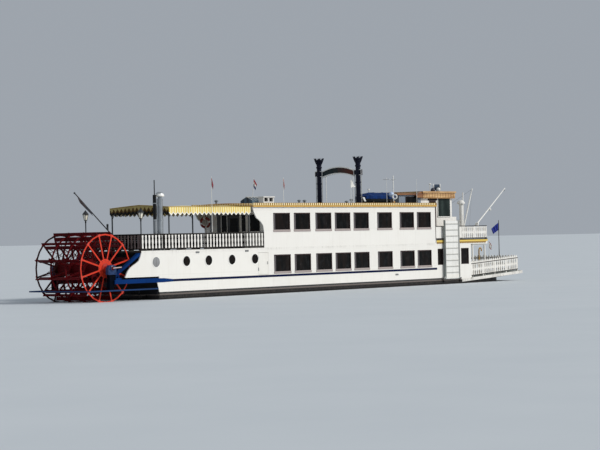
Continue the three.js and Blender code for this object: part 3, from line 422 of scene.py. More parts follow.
# Indoors it yellows; under the deck the stern wall is drawn dark grey as painted shade
inner_paint = painted("White enamel indoors", "#DDD9CF", "#A9A295", 0.45, 0.25)
shade_paint = painted("Dark grey painted shade on the stern wall", "#17191D", "#2B2A28", 0.5, 0.4, spec=0.2)
dress(white_paint, "side_lower_starboard", "side_lower_port", "side_upper_starboard", "side_upper_port",
      "promenade_frame", "lobby_front", "bulkhead_fore", "vent_box")
dress(painted(
    "White enamel and dark stained boards", "#F2EFE8", "#8F877A", 0.4, 0.15, pattern=saloon_front), "bulkhead_aft")
dress(inner_paint, "bulkhead_saloon")
dress(shade_paint, "bulkhead_stern")

# Deep blues that salt and soot have dulled to next to no shine
blue_paint = painted("Blue ship's enamel on steel", "#0C336D", "#0A1B3C", 0.4, 0.45, spec=0.03)
belt_paint = painted("Dark blue line enamel", "#0B163C", "#0A1028", 0.4, 0.4, spec=0.05)
for side, s in SIDES:
    boxed(f"belt_{side}", belt_paint, [((3.4, 29.98), (s * 2.499, s * 2.518), BELT)], edge=0.012)
    # the girder's cover plate laps the wall and runs out into the belt
    mesh = bmesh.new()
    plate(mesh, upright(s * 2.421, (-1.3, 1.01), (-1.3, 1.25), (2.34, 1.25), (2.34, 1.01)), (0, s * 0.1, 0))
    plate(mesh, upright(s * 2.5, (2.34, 1.01), (2.34, 1.25), (2.75, 1.245), (3.5, BELT[1]), (3.5, BELT[0]),
                        (2.75, 1.01)), (0, s * 0.021, 0))
    fit(build(f"girder_cover_{side}", mesh, blue_paint), edge=0.012)
    # below it the wall's after corner rakes
    mesh = bmesh.new()
    plate(mesh, upright(s * 2.46, (2.17, 1.005), (2.42, 1.005), (2.42, 0.3), (2.37, 0.3)), (0, s * 0.041, 0))
    fit(build(f"wall_corner_{side}", mesh, white_paint))

# ---------------------------------------------------------------- Portholes
# Toughened glass in pressed steel rings, riveted to the wall and painted with it. The
# aftermost is blanked with a steel disc in primer.

# Hard white gloss on the rings, flat and blotched grey on the disc
ring_paint = painted("White enamel on pressed rings", "#F6F4EE", "#C9C2B4", 0.32, 0.15, coat=0.3)
grey_disc = painted("Grey primer on a blanking disc", "#8F9091", "#55534F", 0.55, 0.75)


def glass(name, tint, rough=0.06, deep="#1D1712", spec=0.25):
    """Tinted window glass, dark from outside: brownish depths, drapes faint behind it, a little dust."""
    made, tree, place = blank(name)
    dust = put(tree, "ShaderNodeTexNoise", {"Vector": place, "Scale": 5, "Detail": 5})
    hang = put(tree, "ShaderNodeMapping", {"Vector": place, "Scale": (5, 5, 0.9)})
    drape = put(tree, "ShaderNodeTexNoise", {"Vector": hang, "Scale": 1.0, "Detail": 3})
    inside = put(tree, "ShaderNodeMapRange", {"Value": drape, "From Min": 0.42, "From Max": 0.68})
    dim = put(tree, "ShaderNodeMapRange", {"Value": dust, "From Min": 0.5, "From Max": 0.9, "To Max": 0.2})
    haze = put(tree, "ShaderNodeMapRange", {"Value": dust, "To Min": rough, "To Max": rough + 0.12})
    return surfaced(made, {
        "Base Color": coats(tree, tint, (inside, deep), (dim, "#4A4D50")), "Roughness": haze, "IOR": 1.52,
        "Specular IOR Level": spec})


# Float glass by day: near black, with a sharp sheen at a slant
dark_glass = glass("Tinted float glass", "#0A0B0B", deep="#1E1714", spec=0.08)
PORTHOLES, BLANKED, PORTHOLE_HIGH = (4.69, 6.63, 8.73, 10.85), 2.1, 2.2
RING = [(0.298, -0.004), (0.298, 0.012), (0.308, 0.018), (0.338, 0.016), (0.348, 0.004), (0.35, -0.004)]
for side, s in SIDES:
    rings, panes, disc = bmesh.new(), bmesh.new(), bmesh.new()
    for x in (BLANKED,) + PORTHOLES:
        turned(rings, RING, (x, s * 2.5, PORTHOLE_HIGH), (0, s, 0), 28, closed=True)
    for x in PORTHOLES:
        turned(panes, [(0.3, 0), (0.3, 0.006), (0, 0.008)], (x, s * 2.499, PORTHOLE_HIGH), (0, s, 0), 28)
    turned(disc, [(0.3, 0), (0.3, 0.01), (0.2, 0.014), (0, 0.016)], (BLANKED, s * 2.499, PORTHOLE_HIGH),
           (0, s, 0), 28)
    fit(build(f"porthole_rings_{side}", rings, ring_paint), smooth=40)
    fit(build(f"porthole_glass_{side}", panes, dark_glass), smooth=40)
    fit(build(f"porthole_blank_{side}", disc, grey_disc), smooth=40)

# ---------------------------------------------------------------- Saloon windows
# Extruded aluminium frames in stoved enamel, one tinted pane each, screwed into the
# openings of both decks, with a paler sill and a grey stile on the after side.

# An even satin that sets the windows off from the wall: brown, grey and mauve-grey
frame_paint = painted("Brown enamel on aluminium frames", "#33211F", "#1F1615", 0.42, 0.3, spec=0.3)
blind_paint = painted("Grey enamel on the sash stiles", "#5A5557", "#3A3536", 0.45, 0.3, spec=0.3)
sill_paint = painted("Mauve-grey enamel on the sills", "#A79A96", "#7E7470", 0.42, 0.3)
STATIONS = (12.66, 14.66, 16.81, 18.79, 20.76, 23.3, 25.79, 27.75)
WINDOW_WIDE, WINDOW_HIGH, SILLS = 1.63, 1.18, (1.24, 3.85)


def window(bars, pane, x, y, z, s, bar=0.075, across=False, sill=None, stile=None):
    """A framed pane in an opening of a side wall, or of a cross wall that faces s along X."""
    def piece(mesh, wide, deep, high):
        near, far = (y + s * d for d in deep)
        block(mesh, *(((near, far), wide) if across else (wide, (near, far))), high)

    left, right = (x[0], x[0] + bar), (x[1] - bar, x[1])
    for wide, high in ((left, z), (right, z), (x, (z[1] - bar, z[1])), (x, (z[0], z[0] + bar))):
        piece(bars, wide, (0.006, -0.055), high)
    piece(pane, (left[1], right[0]), (-0.035, -0.045), (z[0] + bar, z[1] - bar))
    if stile is not None:
        piece(stile, (x[0] + 0.012, x[0] + 0.17), (0.009, -0.04), (z[0] + 0.1, z[1] - 0.06))
    if sill is not None:
        piece(sill, (x[0] - 0.02, x[1] + 0.02), (0.03, -0.06), (z[0] - 0.015, z[0] + 0.125))


for side, s in SIDES:
    bars, pane, sill, stile = bmesh.new(), bmesh.new(), bmesh.new(), bmesh.new()
    for x in STATIONS:
        for z in SILLS:
            window(bars, pane, (x, x + WINDOW_WIDE), s * 2.5, (z, z + WINDOW_HIGH), s, sill=sill, stile=stile)
    for x in ((30.1, 30.75), (32.9, 33.85)):
        window(bars, pane, x, s * 2.5, (1.35, 2.48), s, 0.05)
    fit(build(f"window_frames_{side}", bars, frame_paint), edge=0.01)
    fit(build(f"window_panes_{side}", pane, dark_glass))
    fit(build(f"window_sills_{side}", sill, sill_paint), edge=0.012)
    fit(build(f"window_stiles_{side}", stile, blind_paint), edge=0.008)

# ---------------------------------------------------------------- Wall grilles
# Deck lights and vent grilles in grey primer, let into the walls and held by screws
# behind their three louvres.
for side, s in SIDES:
    boxes = []
    for x, z in ((5.5, 2.66), (9.95, 2.66), (25.2, 0.78)):
        boxes.append(((x, x + 0.3), (s * 2.499, s * 2.53), (z, z + 0.1)))
        for louvre in (z + 0.012, z + 0.042, z + 0.072):
            boxes.append(((x + 0.02, x + 0.28), (s * 2.52, s * 2.545), (louvre, louvre + 0.014)))
    boxed(f"wall_grilles_{side}", grey_disc, boxes)

# ---------------------------------------------------------------- Upper deck
# Steel deck with narrow planks laid on it, gone grey in the weather. Its edge is
# painted white, with painted shade on the aft-facing edge at the stern over the wheel.


def planks(tree, place):
    """Grey planks 0.12 m wide on faces that look up, painted shade on faces that look aft, white elsewhere."""
    boards = put(tree, "ShaderNodeTexBrick", {
        "Vector": place, "Scale": 1.0, "Brick Width": 1.9, "Row Height": 0.06, "Mortar Size": 0.003,
        "Color1": "#8F887B", "Color2": "#7D766A", "Mortar": "#33302C"}, "Color")
    return coats(tree, "#EDEAE3", (facing(tree, *AFTWARD), "#26231F"), (facing(tree, *UP), boards))


# Weathered softwood: matt grey boards with dark caulked seams between them
dress(painted(
    "Weathered deck planks with a white edge", "#8A8478", "#5D584F", 0.6, 0.3, pattern=planks), "deck_upper")

# ---------------------------------------------------------------- Railings
# Sawn pine balusters in white paint between two rails. Aft the cap and foot rail are
# dark; forward the pickets run up to points above a thin grey cap.

# Brushed paint on sawn wood: a slightly rough white, stained where rain stands
board_paint = painted("White paint on sawn pine", "#F1EEE7", "#B5AB9B", 0.5, 0.45, peel=0.3)
cap_paint = painted("Dark brown stain on the rails", "#1D1917", "#4A423C", 0.5, 0.5, spec=0.25)
# The stern's balusters face aft into shade: their grey-brown is painted shade
shaded_board = painted("Grey-brown painted shade on the stern's balusters", "#7A6C69", "#4B403E", 0.6, 0.5,
                       spec=0.2)
DECK, FORE_DECK, RAIL_Y, CROSS = 2.872, 3.072, 2.465, 2.42
RAIL_HIGH, RAIL_THICK, POST = 0.98, 0.05, 0.07
TURNED_EDGE = [(0.067, 0.1), (0.069, 0.2), (0.056, 0.28), (0.047, 0.36), (0.064, 0.46), (0.072, 0.53), (0.064, 0.6),
               (0.045, 0.68), (0.053, 0.76), (0.069, 0.84), (0.069, 0.9)]
LENS_EDGE = [(0.118, 0.1), (0.085, 0.15), (0.062, 0.21), (0.055, 0.29), (0.062, 0.37), (0.088, 0.43), (0.119, 0.49),
             (0.119, 0.52), (0.088, 0.58), (0.062, 0.64), (0.055, 0.72), (0.062, 0.8), (0.085, 0.86), (0.116, 0.9)]
POINTED = LENS_EDGE + [(0.116, 1.0), (0.0, 1.16)]


def railing(name, replaced, length, edge, pitch, posts, place, turn=0.0, slope=0.0, solid=0.0, foot=0.07,
            board=board_paint, post=None):
    """A run of balusters, its rails and its posts, built along X and then set on the deck."""
    spot = Matrix.Translation(ship(*place)) @ Matrix.Rotation(turn, 4, "Z")
    lean = Matrix.Identity(4)
    lean[2][0] = slope
    count = int((length - solid - 2 * edge[0][0] - 0.02) / pitch) + 1
    first = solid + (length - solid - (count - 1) * pitch) / 2
    half = RAIL_THICK / 2
    mesh = bmesh.new()
    outline = [(first + w, z) for w, z in edge] + [(first - w, z) for w, z in reversed(edge) if w > 0]
    plate(mesh, [(x, -0.012, foot - 0.07 + z) for x, z in outline], (0, 0.024, 0))
    boards = copies(build(f"{name}_boards", mesh, board), count, (pitch, 0, 0))
    rails, frame_posts = bmesh.new(), bmesh.new()
    block(rails, (0, length), (-half - 0.012, half + 0.012), (RAIL_HIGH - 0.045, RAIL_HIGH))
    block(rails, (0, length), (-half, half), (foot, foot + 0.06))
    for i in range(posts + 1):
        x = i * (length - POST) / posts
        block(frame_posts, (x, x + POST), (-half + 0.002, half - 0.002), (0, RAIL_HIGH - 0.02))
    if solid:
        block(frame_posts, (0, solid), (-0.012, 0.012), (foot, RAIL_HIGH - 0.03))
    made = [boards, build(f"{name}_rails", rails, cap_paint), build(f"{name}_posts", frame_posts, post or board)]
    for thing in made:
        thing.data.transform(spot @ lean @ Matrix.Translation(-ship(0, 0, 0)))
        fit(thing)
    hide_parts(replaced)


BOW_SLOPE = 0.384 / 7.26


def bow_deck(x):
    """The height of the rising bow deck at a station."""
    return 0.34 + BOW_SLOPE * (x - 33.3)


QUARTER = math.pi / 2
railing("stern_rail", "rail_stern", 2 * CROSS, TURNED_EDGE, 0.278, 2, (0.93, -CROSS, DECK), QUARTER,
        board=shaded_board)
railing("fore_rail", "rail_fore_front", 2 * CROSS, LENS_EDGE, 0.247, 2, (36.15, -CROSS, FORE_DECK), QUARTER)
railing("bow_rail", "rail_bow_front", 2 * CROSS, POINTED, 0.247, 2, (40.04, -CROSS, bow_deck(40.1)), QUARTER,
        foot=0.1)
for side, s in SIDES:
    railing(f"aft_rail_{side}", f"rail_aft_{side}", 10.85, TURNED_EDGE, 0.278, 6, (0.9, s * RAIL_Y, DECK),
            post=cap_paint)
    railing(f"fore_rail_{side}", f"rail_fore_{side}", 6.2, LENS_EDGE, 0.247, 4, (29.98, s * RAIL_Y, FORE_DECK),
            solid=3.05)
    railing(f"bow_rail_{side}", f"rail_bow_{side}", 5.94, POINTED, 0.247, 4,
            (34.14, s * RAIL_Y, bow_deck(34.14)), slope=BOW_SLOPE, foot=0.1)

# ---------------------------------------------------------------- Benches
# Slatted benches along the after rails: hardwood slats screwed to solid ends. They are
# drawn near black as painted shade, so they read as dark bars behind the white balusters.
shade_dark_slats = painted("Near-black slats, painted shade behind the rails", "#0B0908", "#1C1714", 0.6, 0.4, spec=0.05)
BACK_SLAT, SEAT_SLAT = (2.93, 3.03), (3.27, 3.3)


def bench(name, back, seat, step, ends):
    """A bench from its lowest back slat, its rearmost seat slat, the step from seat slat to seat slat, and its ends."""
    boxed(f"{name}_back", shade_dark_slats, [back], 8, (0, 0, 0.115))
    boxed(f"{name}_seat", shade_dark_slats, [seat], 4, step)
    boxed(f"{name}_ends", shade_dark_slats, [(x, y, (DECK, SEAT_SLAT[0])) for x, y in ends])


for side, s in SIDES:
    bench(f"bench_{side}", ((1.5, 10.3), (s * 2.22, s * 2.25), BACK_SLAT),
          ((1.5, 10.3), (s * 2.19, s * 2.11), SEAT_SLAT), (0, -s * 0.1, 0),
          [((x - 0.02, x + 0.02), (s * 2.22, s * 1.79)) for x in (1.6, 3.0, 4.6, 6.2, 7.8, 9.2, 10.2)])
bench("bench_stern", ((1.3, 1.33), (-1.95, 1.95), BACK_SLAT), ((1.36, 1.44), (-1.95, 1.95), SEAT_SLAT),
      (0.1, 0, 0), [((1.33, 1.76), (y - 0.02, y + 0.02)) for y in (-1.9, 0, 1.9)])

# ---------------------------------------------------------------- Roof
# Tarred felt on boards inside a deep timber fascia, painted yellow-orange, with a row
# of paler dentils along its upper half and a bead below.

# House paint on softwood: a warm ochre with soft gloss, with painted shade behind the cream dentils
trim_paint = painted("Ochre paint on the fascia", "#D2A444", "#8A662C", 0.5, 0.3, peel=0.3,
                     pattern=zones("#D2A444", (dict(z=(5.49, None)), "#94702E")))
dentil_paint = painted("Cream paint on the dentils", "#FBE7B4", "#D9B46C", 0.5, 0.2)
# Felt with a mineral grit: matt grey on top, the fascia's paint down the edges
dress(painted(
    "Felt roof and its painted edge", "#C4924A", "#8A5B22", 0.6, 0.3, peel=0.4,
    pattern=zones("#C4924A", (UP, "#77756F"))), "roof")
DENTIL_STEP, DENTIL_HIGH = 0.206, (5.5, 5.64)
for side, s in SIDES:
    boxed(f"roof_dentils_{side}", dentil_paint, [((10.7, 10.795), (s * 2.58, s * 2.61), DENTIL_HIGH)],
          93, (DENTIL_STEP, 0, 0))
    mesh = bmesh.new()
    block(mesh, (10.68, 29.97), (s * 2.56, s * 2.594), (5.41, 5.62))
    rod(mesh, (10.68, s * 2.59, 5.42), (29.97, s * 2.59, 5.42), 0.022, sides=6)
    rod(mesh, (10.68, s * 2.585, 5.64), (29.97, s * 2.585, 5.64), 0.02, sides=6)
    fit(build(f"roof_fascia_{side}", mesh, trim_paint))
for end, x, s in (("aft", 10.7, -1), ("fore", 29.95, 1)):
    boxed(f"roof_dentils_{end}", dentil_paint, [((x, x + s * 0.02), (-2.57, -2.455), DENTIL_HIGH)],
          25, (0, DENTIL_STEP, 0))

# ---------------------------------------------------------------- Wheelhouse
# Steel cabin in white enamel with big panes, under a flat roof edged with varnished
# boards. The clerestory runs aft over the deckhouse roof.


def timber(name, pale, dark, rough=0.4, along="X", pitch=6.0, coat=0.4):
    """Varnished wood: rings stretched along the board, with darker pores."""
    made, tree, place = blank(name)
    stretch = {"X": (0.5, pitch, pitch), "Y": (pitch, 0.5, pitch), "Z": (pitch, pitch, 0.5)}[along]
    lay = put(tree, "ShaderNodeMapping", {"Vector": place, "Scale": stretch})
    grain = put(tree, "ShaderNodeTexNoise", {"Vector": lay, "Scale": 2.2, "Detail": 7, "Distortion": 0.6})
    spread = put(tree, "ShaderNodeMapRange", {"Value": grain, "From Min": 0.36, "From Max": 0.66})
    pores = put(tree, "ShaderNodeBump", {"Height": grain, "Strength": 0.25, "Distance": 0.006})
    return surfaced(made, {
        "Base Color": coats(tree, dark, (spread, pale)), "Roughness": rough, "Normal": pores,
        "Coat Weight": coat, "Coat Roughness": 0.2})


# Sprayed enamel: smoother and cleaner than the hull's, with a thin clear shine
dress(painted(
    "White enamel on the cabin, grey-blue on the clerestory", "#F0EDE6", "#B9AE9C", 0.36, 0.2, coat=0.2,
    pattern=zones("#F0EDE6", (dict(x=(None, 29.62), z=(5.6, None)), "#7E8A98"))), "wheelhouse")
# Varnish on the edges, grey felt on top and navy enamel on the light's drum
dress(painted(
    "Roof felt edged with varnish", "#B98A50", "#8A5A2A", 0.55, 0.3,
    pattern=zones("#B98A50", (UP, "#8B8984"), (dict(z=(6.5, None)), "#2A3346"))), "wheelhouse_roof")
# Larch under varnish: honey yellow forward, sunburnt red-brown on the clerestory
roof_wood = timber("Varnished larch boards", "#DDB57C", "#9A6A36")
clerestory_wood = timber("Red-brown varnish on the clerestory's edge", "#A8713C", "#6F4020")
batten_wood = timber("Darker varnished battens", "#A87A44", "#6F4420")
CAP = (6.375, 6.485)
boxes = []
for s in (-1, 1):
    boxes += [((29.6, 33.4), (s * 1.699, s * 1.725), (6.05, 6.365)), ((29.54, 33.47), (s * 1.76, s * 1.78), CAP)]
for x, s, low in ((33.4, 1, 6.02), (29.6, -1, 6.34)):
    boxes += [((x, x + s * 0.025), (-1.72, 1.72), (low, 6.365)),
              ((x + s * 0.07, x + s * 0.09), (-1.78, 1.78), CAP)]
boxed("wheelhouse_fascia", roof_wood, boxes, edge=0.014)
EDGE_BOARD = (6.225, 6.325)
mesh = bmesh.new()
for s in (-1, 1):
    block(mesh, (26.74, 29.6), (s * 1.62, s * 1.64), EDGE_BOARD)
block(mesh, (26.74, 26.76), (-1.64, 1.64), EDGE_BOARD)
for s in (-1, 1):
    plate(mesh, upright(s * 1.64, (28.8, 6.2), (28.8, 6.26), (29.35, 6.47), (29.6, 6.48), (29.6, 6.04),
                        (28.95, 6.04)), (0, s * 0.06, 0))
fit(build("clerestory_fascia", mesh, clerestory_wood), edge=0.01)
boxed("fascia_battens", batten_wood, [((29.7, 29.73), (-1.735, -1.725), (6.06, 6.35))], 12, (0.32, 0, 0))


def glazed(name, openings, bar_finish, glazing, edge=0.008):
    """The windows of one kind: each opening's reach, wall, heights, facing, bar, and whether its wall runs across."""
    bars, pane = bmesh.new(), bmesh.new()
    for opening in openings:
        window(bars, pane, *opening)
    fit(build(f"{name}_frames", bars, bar_finish), edge=edge)
    fit(build(f"{name}_panes", pane, glazing))


# Clear glass shows the cabin's grey depth where the saloon's tint shows black
clear_glass = glass("Clear wheelhouse glass", "#1A2421", 0.04, "#333E3A", 0.15)
glazed("wheelhouse", [((31.54, 33.08), s * 1.548, (4.68, 6.05), s, 0.05) for s in (-1, 1)] + [
    ((30.47, 31.42), 1.5, (4.75, 5.88), 1, 0.05)] + [
    (y, 33.3, (4.75, 5.88), 1, 0.04, True) for y in ((-1.37, -0.5), (-0.43, 0.43), (0.5, 1.37))],
    ring_paint, clear_glass)
glazed("clerestory", [((27.85, 29.2), s * 1.548, (5.66, 6.12), s, 0.03) for s in (-1, 1)] + [
    ((30.45, 31.45), -1.548, (5.86, 6.05), -1, 0.03)], frame_paint, dark_glass, edge=0)
glazed("end_window", [
    (y, 11.78, (3.85, 5.0), -1, 0.05, True) for y in ((-2.2, -1.26), (-1.02, -0.56), (0.56, 1.12))] + [
    (y, 34.119, (1.35, 2.48), 1, 0.06, True) for y in ((-2.2, -1.0), (1.0, 2.2))],
    ring_paint, dark_glass)

# ---------------------------------------------------------------- Doors
# Steel and wooden leaves with a glazed panel each, hung on pins, with brass pull handles.
# The side hatch has galvanised hinge straps.

# White enamel handled daily, near-black stain aft, red-brown varnish on the wheelhouse
door_paint = painted("White enamel on the doors", "#EFECE4", "#B7AC9B", 0.38, 0.25, coat=0.2)
dress(door_paint, "door_bow", "hatch_side")
dress(timber("Dark stained after door", "#2E2521", "#171210", along="Z", coat=0.1), "door_aft")
dress(timber(
    "Varnished mahogany door", "#4A2A24", "#241310", along="Z", coat=0.2), "door_wheelhouse")
# Brass rubbed bright and dulled again: a warm, patchy metal
brass = painted("Brass, dulled by hands and weather", "#B08D4A", "#6F5628", 0.35, 0.4, metal=1.0)
for body, *pane in (("door_aft", (11.795, 11.81), (-0.325, 0.325), (3.9, 4.75)),
                    ("door_bow", (34.09, 34.105), (-0.325, 0.325), (1.475, 2.225)),
                    ("door_wheelhouse", (30.695, 31.275), (-1.47, -1.485), (4.76, 5.78))):
    boxed(f"{body}_pane", dark_glass, [pane], body=body)
mesh = bmesh.new()
for z in (1.55, 2.25):
    block(mesh, (11.13, 11.2), (-2.5, -2.516), (z - 0.09, z + 0.09))
rod(mesh, (12.02, -2.53, 1.85), (12.02, -2.53, 2.0), 0.014)
for z in (1.85, 2.0):
    rod(mesh, (12.02, -2.495, z), (12.02, -2.53, z), 0.01)
fit(build("hatch_fittings", mesh, galvanised), "hatch_side")
# each handle's root, how far it stands out and how far it then turns over
for body, root, out_by, grip in (("door_aft", (11.78, -0.36, 3.8), (-0.05, 0), (0, 0.12)),
                                 ("door_bow", (34.12, 0.36, 1.4), (0.05, 0), (0, -0.12)),
                                 ("door_wheelhouse", (31.33, -1.5, 4.0), (0, -0.05), (-0.12, 0))):
    elbow = (root[0] + out_by[0], root[1] + out_by[1], root[2])
    end = (elbow[0] + grip[0], elbow[1] + grip[1], elbow[2])
    barred(f"{body}_handle", brass, [(root, elbow, 0.018), (elbow, end, 0.014)], body, 40)

# ---------------------------------------------------------------- Canopy
# Awning canvas in narrow yellow and white stripes, stretched over three tube bows and
# laced at the eaves, with a scalloped valance hung all round.


def canvas(name, first, second, pitch, toothed=False, hem=None, soil_tone="#A08E5E", sheen=0.2):
    """Woven canvas: stripes or a toothed pattern, a hem past its place, a fine weave and a bloom of dirt."""
    made, tree, place = blank(name)
    laid = put(tree, "ShaderNodeTexCoord", {}, "UV")
    run, down = (put(tree, "ShaderNodeSeparateXYZ", {0: laid}, axis) for axis in "XY")
    turns = put(tree, "ShaderNodeMath", {"operation": "DIVIDE", 0: run, 1: pitch})
    if toothed:
        point = put(tree, "ShaderNodeMath", {"operation": "PINGPONG", 0: turns, 1: 0.5})
        edge = put(tree, "ShaderNodeMath", {"operation": "MULTIPLY_ADD", 0: point, 1: 0.2, 2: 0.06})
        mask = put(tree, "ShaderNodeMath", {"operation": "GREATER_THAN", 0: down, 1: edge})
    else:
        part = put(tree, "ShaderNodeMath", {"operation": "FRACT", 0: turns})
        mask = put(tree, "ShaderNodeMath", {"operation": "GREATER_THAN", 0: part, 1: 0.5})
    tone = coats(tree, first, (mask, second))
    if hem:
        past = put(tree, "ShaderNodeMath", {"operation": "GREATER_THAN", 0: down, 1: hem[0]})
        tone = coats(tree, tone, (past, hem[1]))
    soil = put(tree, "ShaderNodeTexNoise", {"Vector": place, "Scale": 3, "Detail": 6})
    soiled = put(tree, "ShaderNodeMapRange", {"Value": soil, "From Min": 0.45, "From Max": 0.85, "To Max": 0.4})
    # threads lie 0.5 mm apart; drawn 4 mm apart so that they show
    weave = put(tree, "ShaderNodeTexWave", {"Vector": laid, "Scale": 40, "Distortion": 0.4, "Detail": 1})
    relief = put(tree, "ShaderNodeBump", {"Height": weave, "Strength": 0.12, "Distance": 0.002})
    return surfaced(made, {
        "Base Color": coats(tree, tone, (soiled, soil_tone)), "Roughness": 0.85, "Sheen Weight": sheen,
        "Specular IOR Level": 0.1, "Normal": relief})


def cloth(name, across, down, flat, place, finish, thick=0.006):
    """A sheet of cloth: place(s, t) over a grid, with a UV map in the model's metres."""
    mesh = bmesh.new()
    laid = mesh.loops.layers.uv.new("laid")
    grid = [[mesh.verts.new(ship(*place(i / across, j / down))) for j in range(down + 1)] for i in range(across + 1)]
    for i in range(across):
        for j in range(down):
            corners = ((i, j), (i + 1, j), (i + 1, j + 1), (i, j + 1))
            face = mesh.faces.new([grid[a][b] for a, b in corners])
            for loop, (a, b) in zip(face.loops, corners):
                loop[laid].uv = (a / across * flat[0] * SCALE, b / down * flat[1] * SCALE)
    thing = build(name, mesh, finish)
    body = thing.modifiers.new("Thickness", "SOLIDIFY")
    body.thickness, body.offset = thick * SCALE, 0
    return plain(thing)


STRIPE = 0.101
# Striped cotton, faded and soft: no shine, a faint bloom at the edges
awning = canvas("Striped awning canvas", "#EED072", "#FBEDBC", STRIPE)
HALF, EAVE, RIDGE, AFT, FORE, GIRTH = 2.45, 5.4, 5.55, 3.3, 10.57, 4.93
BOWS = (3.39, 7.05, 10.5)


def roof_line(y):
    """The height of the bows at a breadth."""
    return EAVE + (RIDGE - EAVE) * (1 - abs(y / HALF) ** 1.2)


def stretched(s, t):
    """The roof cloth, sagging a little between the bows."""
    x, y = AFT + s * (FORE - AFT), -HALF + t * 2 * HALF
    low, high = BOWS[:2] if x < BOWS[1] else BOWS[1:]
    sag = 0.045 * math.sin(math.pi * min(max((x - low) / (high - low), 0), 1)) ** 0.8 * (1 - abs(y / HALF) ** 3)
    return x, y, roof_line(y) - sag


top = cloth("canopy_top", 96, 36, (FORE - AFT, GIRTH), stretched, awning)
fit(top, smooth=60)
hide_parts("canopy")
TEETH_LONG, TEETH_AFT, TIPS, NOTCHES = 19, 15, 4.925, 5.07


def valance(run, teeth):
    """The hanging strip: down from the path that run gives to a toothed edge, with slack folds."""
    def place(s, t):
        x, y, z, out = run(s)
        tooth = 1 - abs(2 * ((s * teeth) % 1) - 1)
        foot = NOTCHES - (NOTCHES - TIPS) * min(1, 1.25 * tooth)
        wave = 0.012 * math.sin(math.tau * s * teeth / 2.6 + 1) * t + 0.008 * math.sin(math.tau * s * teeth) * t * t
        return x + out[0] * wave, y + out[1] * wave, z + (foot - z) * t
    return place


def side_run(s_side):
    """Along one eave."""
    def run(s):
        return AFT + s * (FORE - AFT), s_side * (HALF + 0.008), EAVE + 0.015, (0, s_side)
    return run


def aft_run(s):
    """Across the after bow."""
    y = -HALF + s * 2 * HALF
    return AFT - 0.008, y, roof_line(y) + 0.012, (-1, 0)


# The same cotton bound in white along its teeth; the after strip's dim ochre, dark brown and near-black teeth are
# painted shade of the stern
striped = canvas("Striped valance canvas, white-bound", "#E6C862", "#FBEEBA", STRIPE, hem=(0.2, "#F6F2E6"))
shaded = canvas("Valance canvas in the stern's shade, its teeth printed ochre", "#B7A468", "#5A3F14", 0.163,
                toothed=True, hem=(0.2, "#14100A"), soil_tone="#2B2010")
for name, run, teeth, length, deep, finish in (
        ("valance_starboard", side_run(-1), TEETH_LONG, FORE - AFT, 0.49, striped),
        ("valance_port", side_run(1), TEETH_LONG, FORE - AFT, 0.49, striped),
        ("valance_aft", aft_run, TEETH_AFT, 2 * HALF, 0.64, shaded)):
    strip = cloth(name, teeth * 12, 6, (length, deep), valance(run, teeth), finish)
    fit(strip, smooth=60)

# Bolt rope sewn round the roof cloth's edge: cotton gone olive-gold with age
rope_tone = painted("Old gold cotton on the bolt rope", "#A8883A", "#6A5626", 0.8, 0.4, spec=0.1)
mesh = bmesh.new()
for x in (AFT - 0.012, FORE):
    bent(mesh, [(x, y, roof_line(y) + 0.022) for y in (HALF * (i / 10 - 1) for i in range(21))], 0.02, 6)
for s in (-1, 1):
    rod(mesh, (AFT, s * (HALF + 0.01), EAVE + 0.022), (FORE, s * (HALF + 0.01), EAVE + 0.022), 0.018, sides=6)
fit(build("canopy_piping", mesh, rope_tone), smooth=60)

# Painted tube: dark grey, with the zinc showing through where it is worn
frame_dark = painted("Dark grey paint on galvanised tube", "#34373B", "#6A6C6D", 0.45, 0.4)
dress(frame_dark, "canopy_frame")
mesh = bmesh.new()
for x in BOWS:
    inward = -0.35 if x == BOWS[2] else 0.35
    for s in (-1, 1):
        rod(mesh, (x, s * 2.36, 4.75), (x + inward, s * 2.36, 5.27), 0.018)
        block(mesh, (x - 0.07, x + 0.07), (s * 2.29, s * 2.43), (DECK, 2.89))
fit(build("canopy_braces", mesh, frame_dark))

# ---------------------------------------------------------------- Promenade's valance
# Scalloped boards nailed under the edge of the fore deck, over its white posts. They
# are painted yellow, the scallops gone ochre, with a dark gutter above them.
ARCH = [(0.15 * math.cos(a), -0.035 * math.sin(a)) for a in (math.pi * i / 6 for i in range(7))]
SCALLOP, BOARD, FRONT = 0.3, (2.94, 3.055), 36.2
# Brushed house paint: fresh and warm on the board, rough and brown on the scallops
sun_yellow = painted("Sun yellow paint on the upper board", "#E8C860", "#B98F38", 0.5, 0.3)
old_ochre = painted("Weathered ochre on the scallops", "#9C7A3A", "#5E4420", 0.6, 0.5)
for side, s in SIDES:
    mesh = bmesh.new()
    plate(mesh, [(30.15 + dx, s * 2.503, 2.86 + dz) for dx, dz in ARCH] + [
        (30.0, s * 2.503, 2.945), (30.3, s * 2.503, 2.945)], (0, s * 0.022, 0))
    fit(copies(build(f"promenade_scallops_{side}", mesh, old_ochre), 20, (SCALLOP, 0, 0)))
    boxed(f"promenade_board_{side}", sun_yellow, [((29.98, FRONT), (s * 2.5, s * 2.535), BOARD)],
          edge=0.01)
    boxed(f"promenade_gutter_{side}", cap_paint,
          [((29.98, FRONT), (s * 2.47, s * 2.515), (3.058, 3.125))])
mesh = bmesh.new()
plate(mesh, [(36.203, -2.3 + dx, 2.86 + dz) for dx, dz in ARCH] + [(36.203, -2.45, 2.945), (36.203, -2.15, 2.945)],
      (0.022, 0, 0))
fit(copies(build("promenade_scallops_front", mesh, old_ochre), 16, (0, SCALLOP, 0)))
boxed("promenade_board_front", sun_yellow, [((FRONT, 36.235), (-2.52, 2.52), BOARD)], edge=0.01)

# ---------------------------------------------------------------- Lanterns
# Cast-iron street lanterns on fluted posts, bolted to the after corners of the deck,
# each with four panes of opal glass under a cast hood.

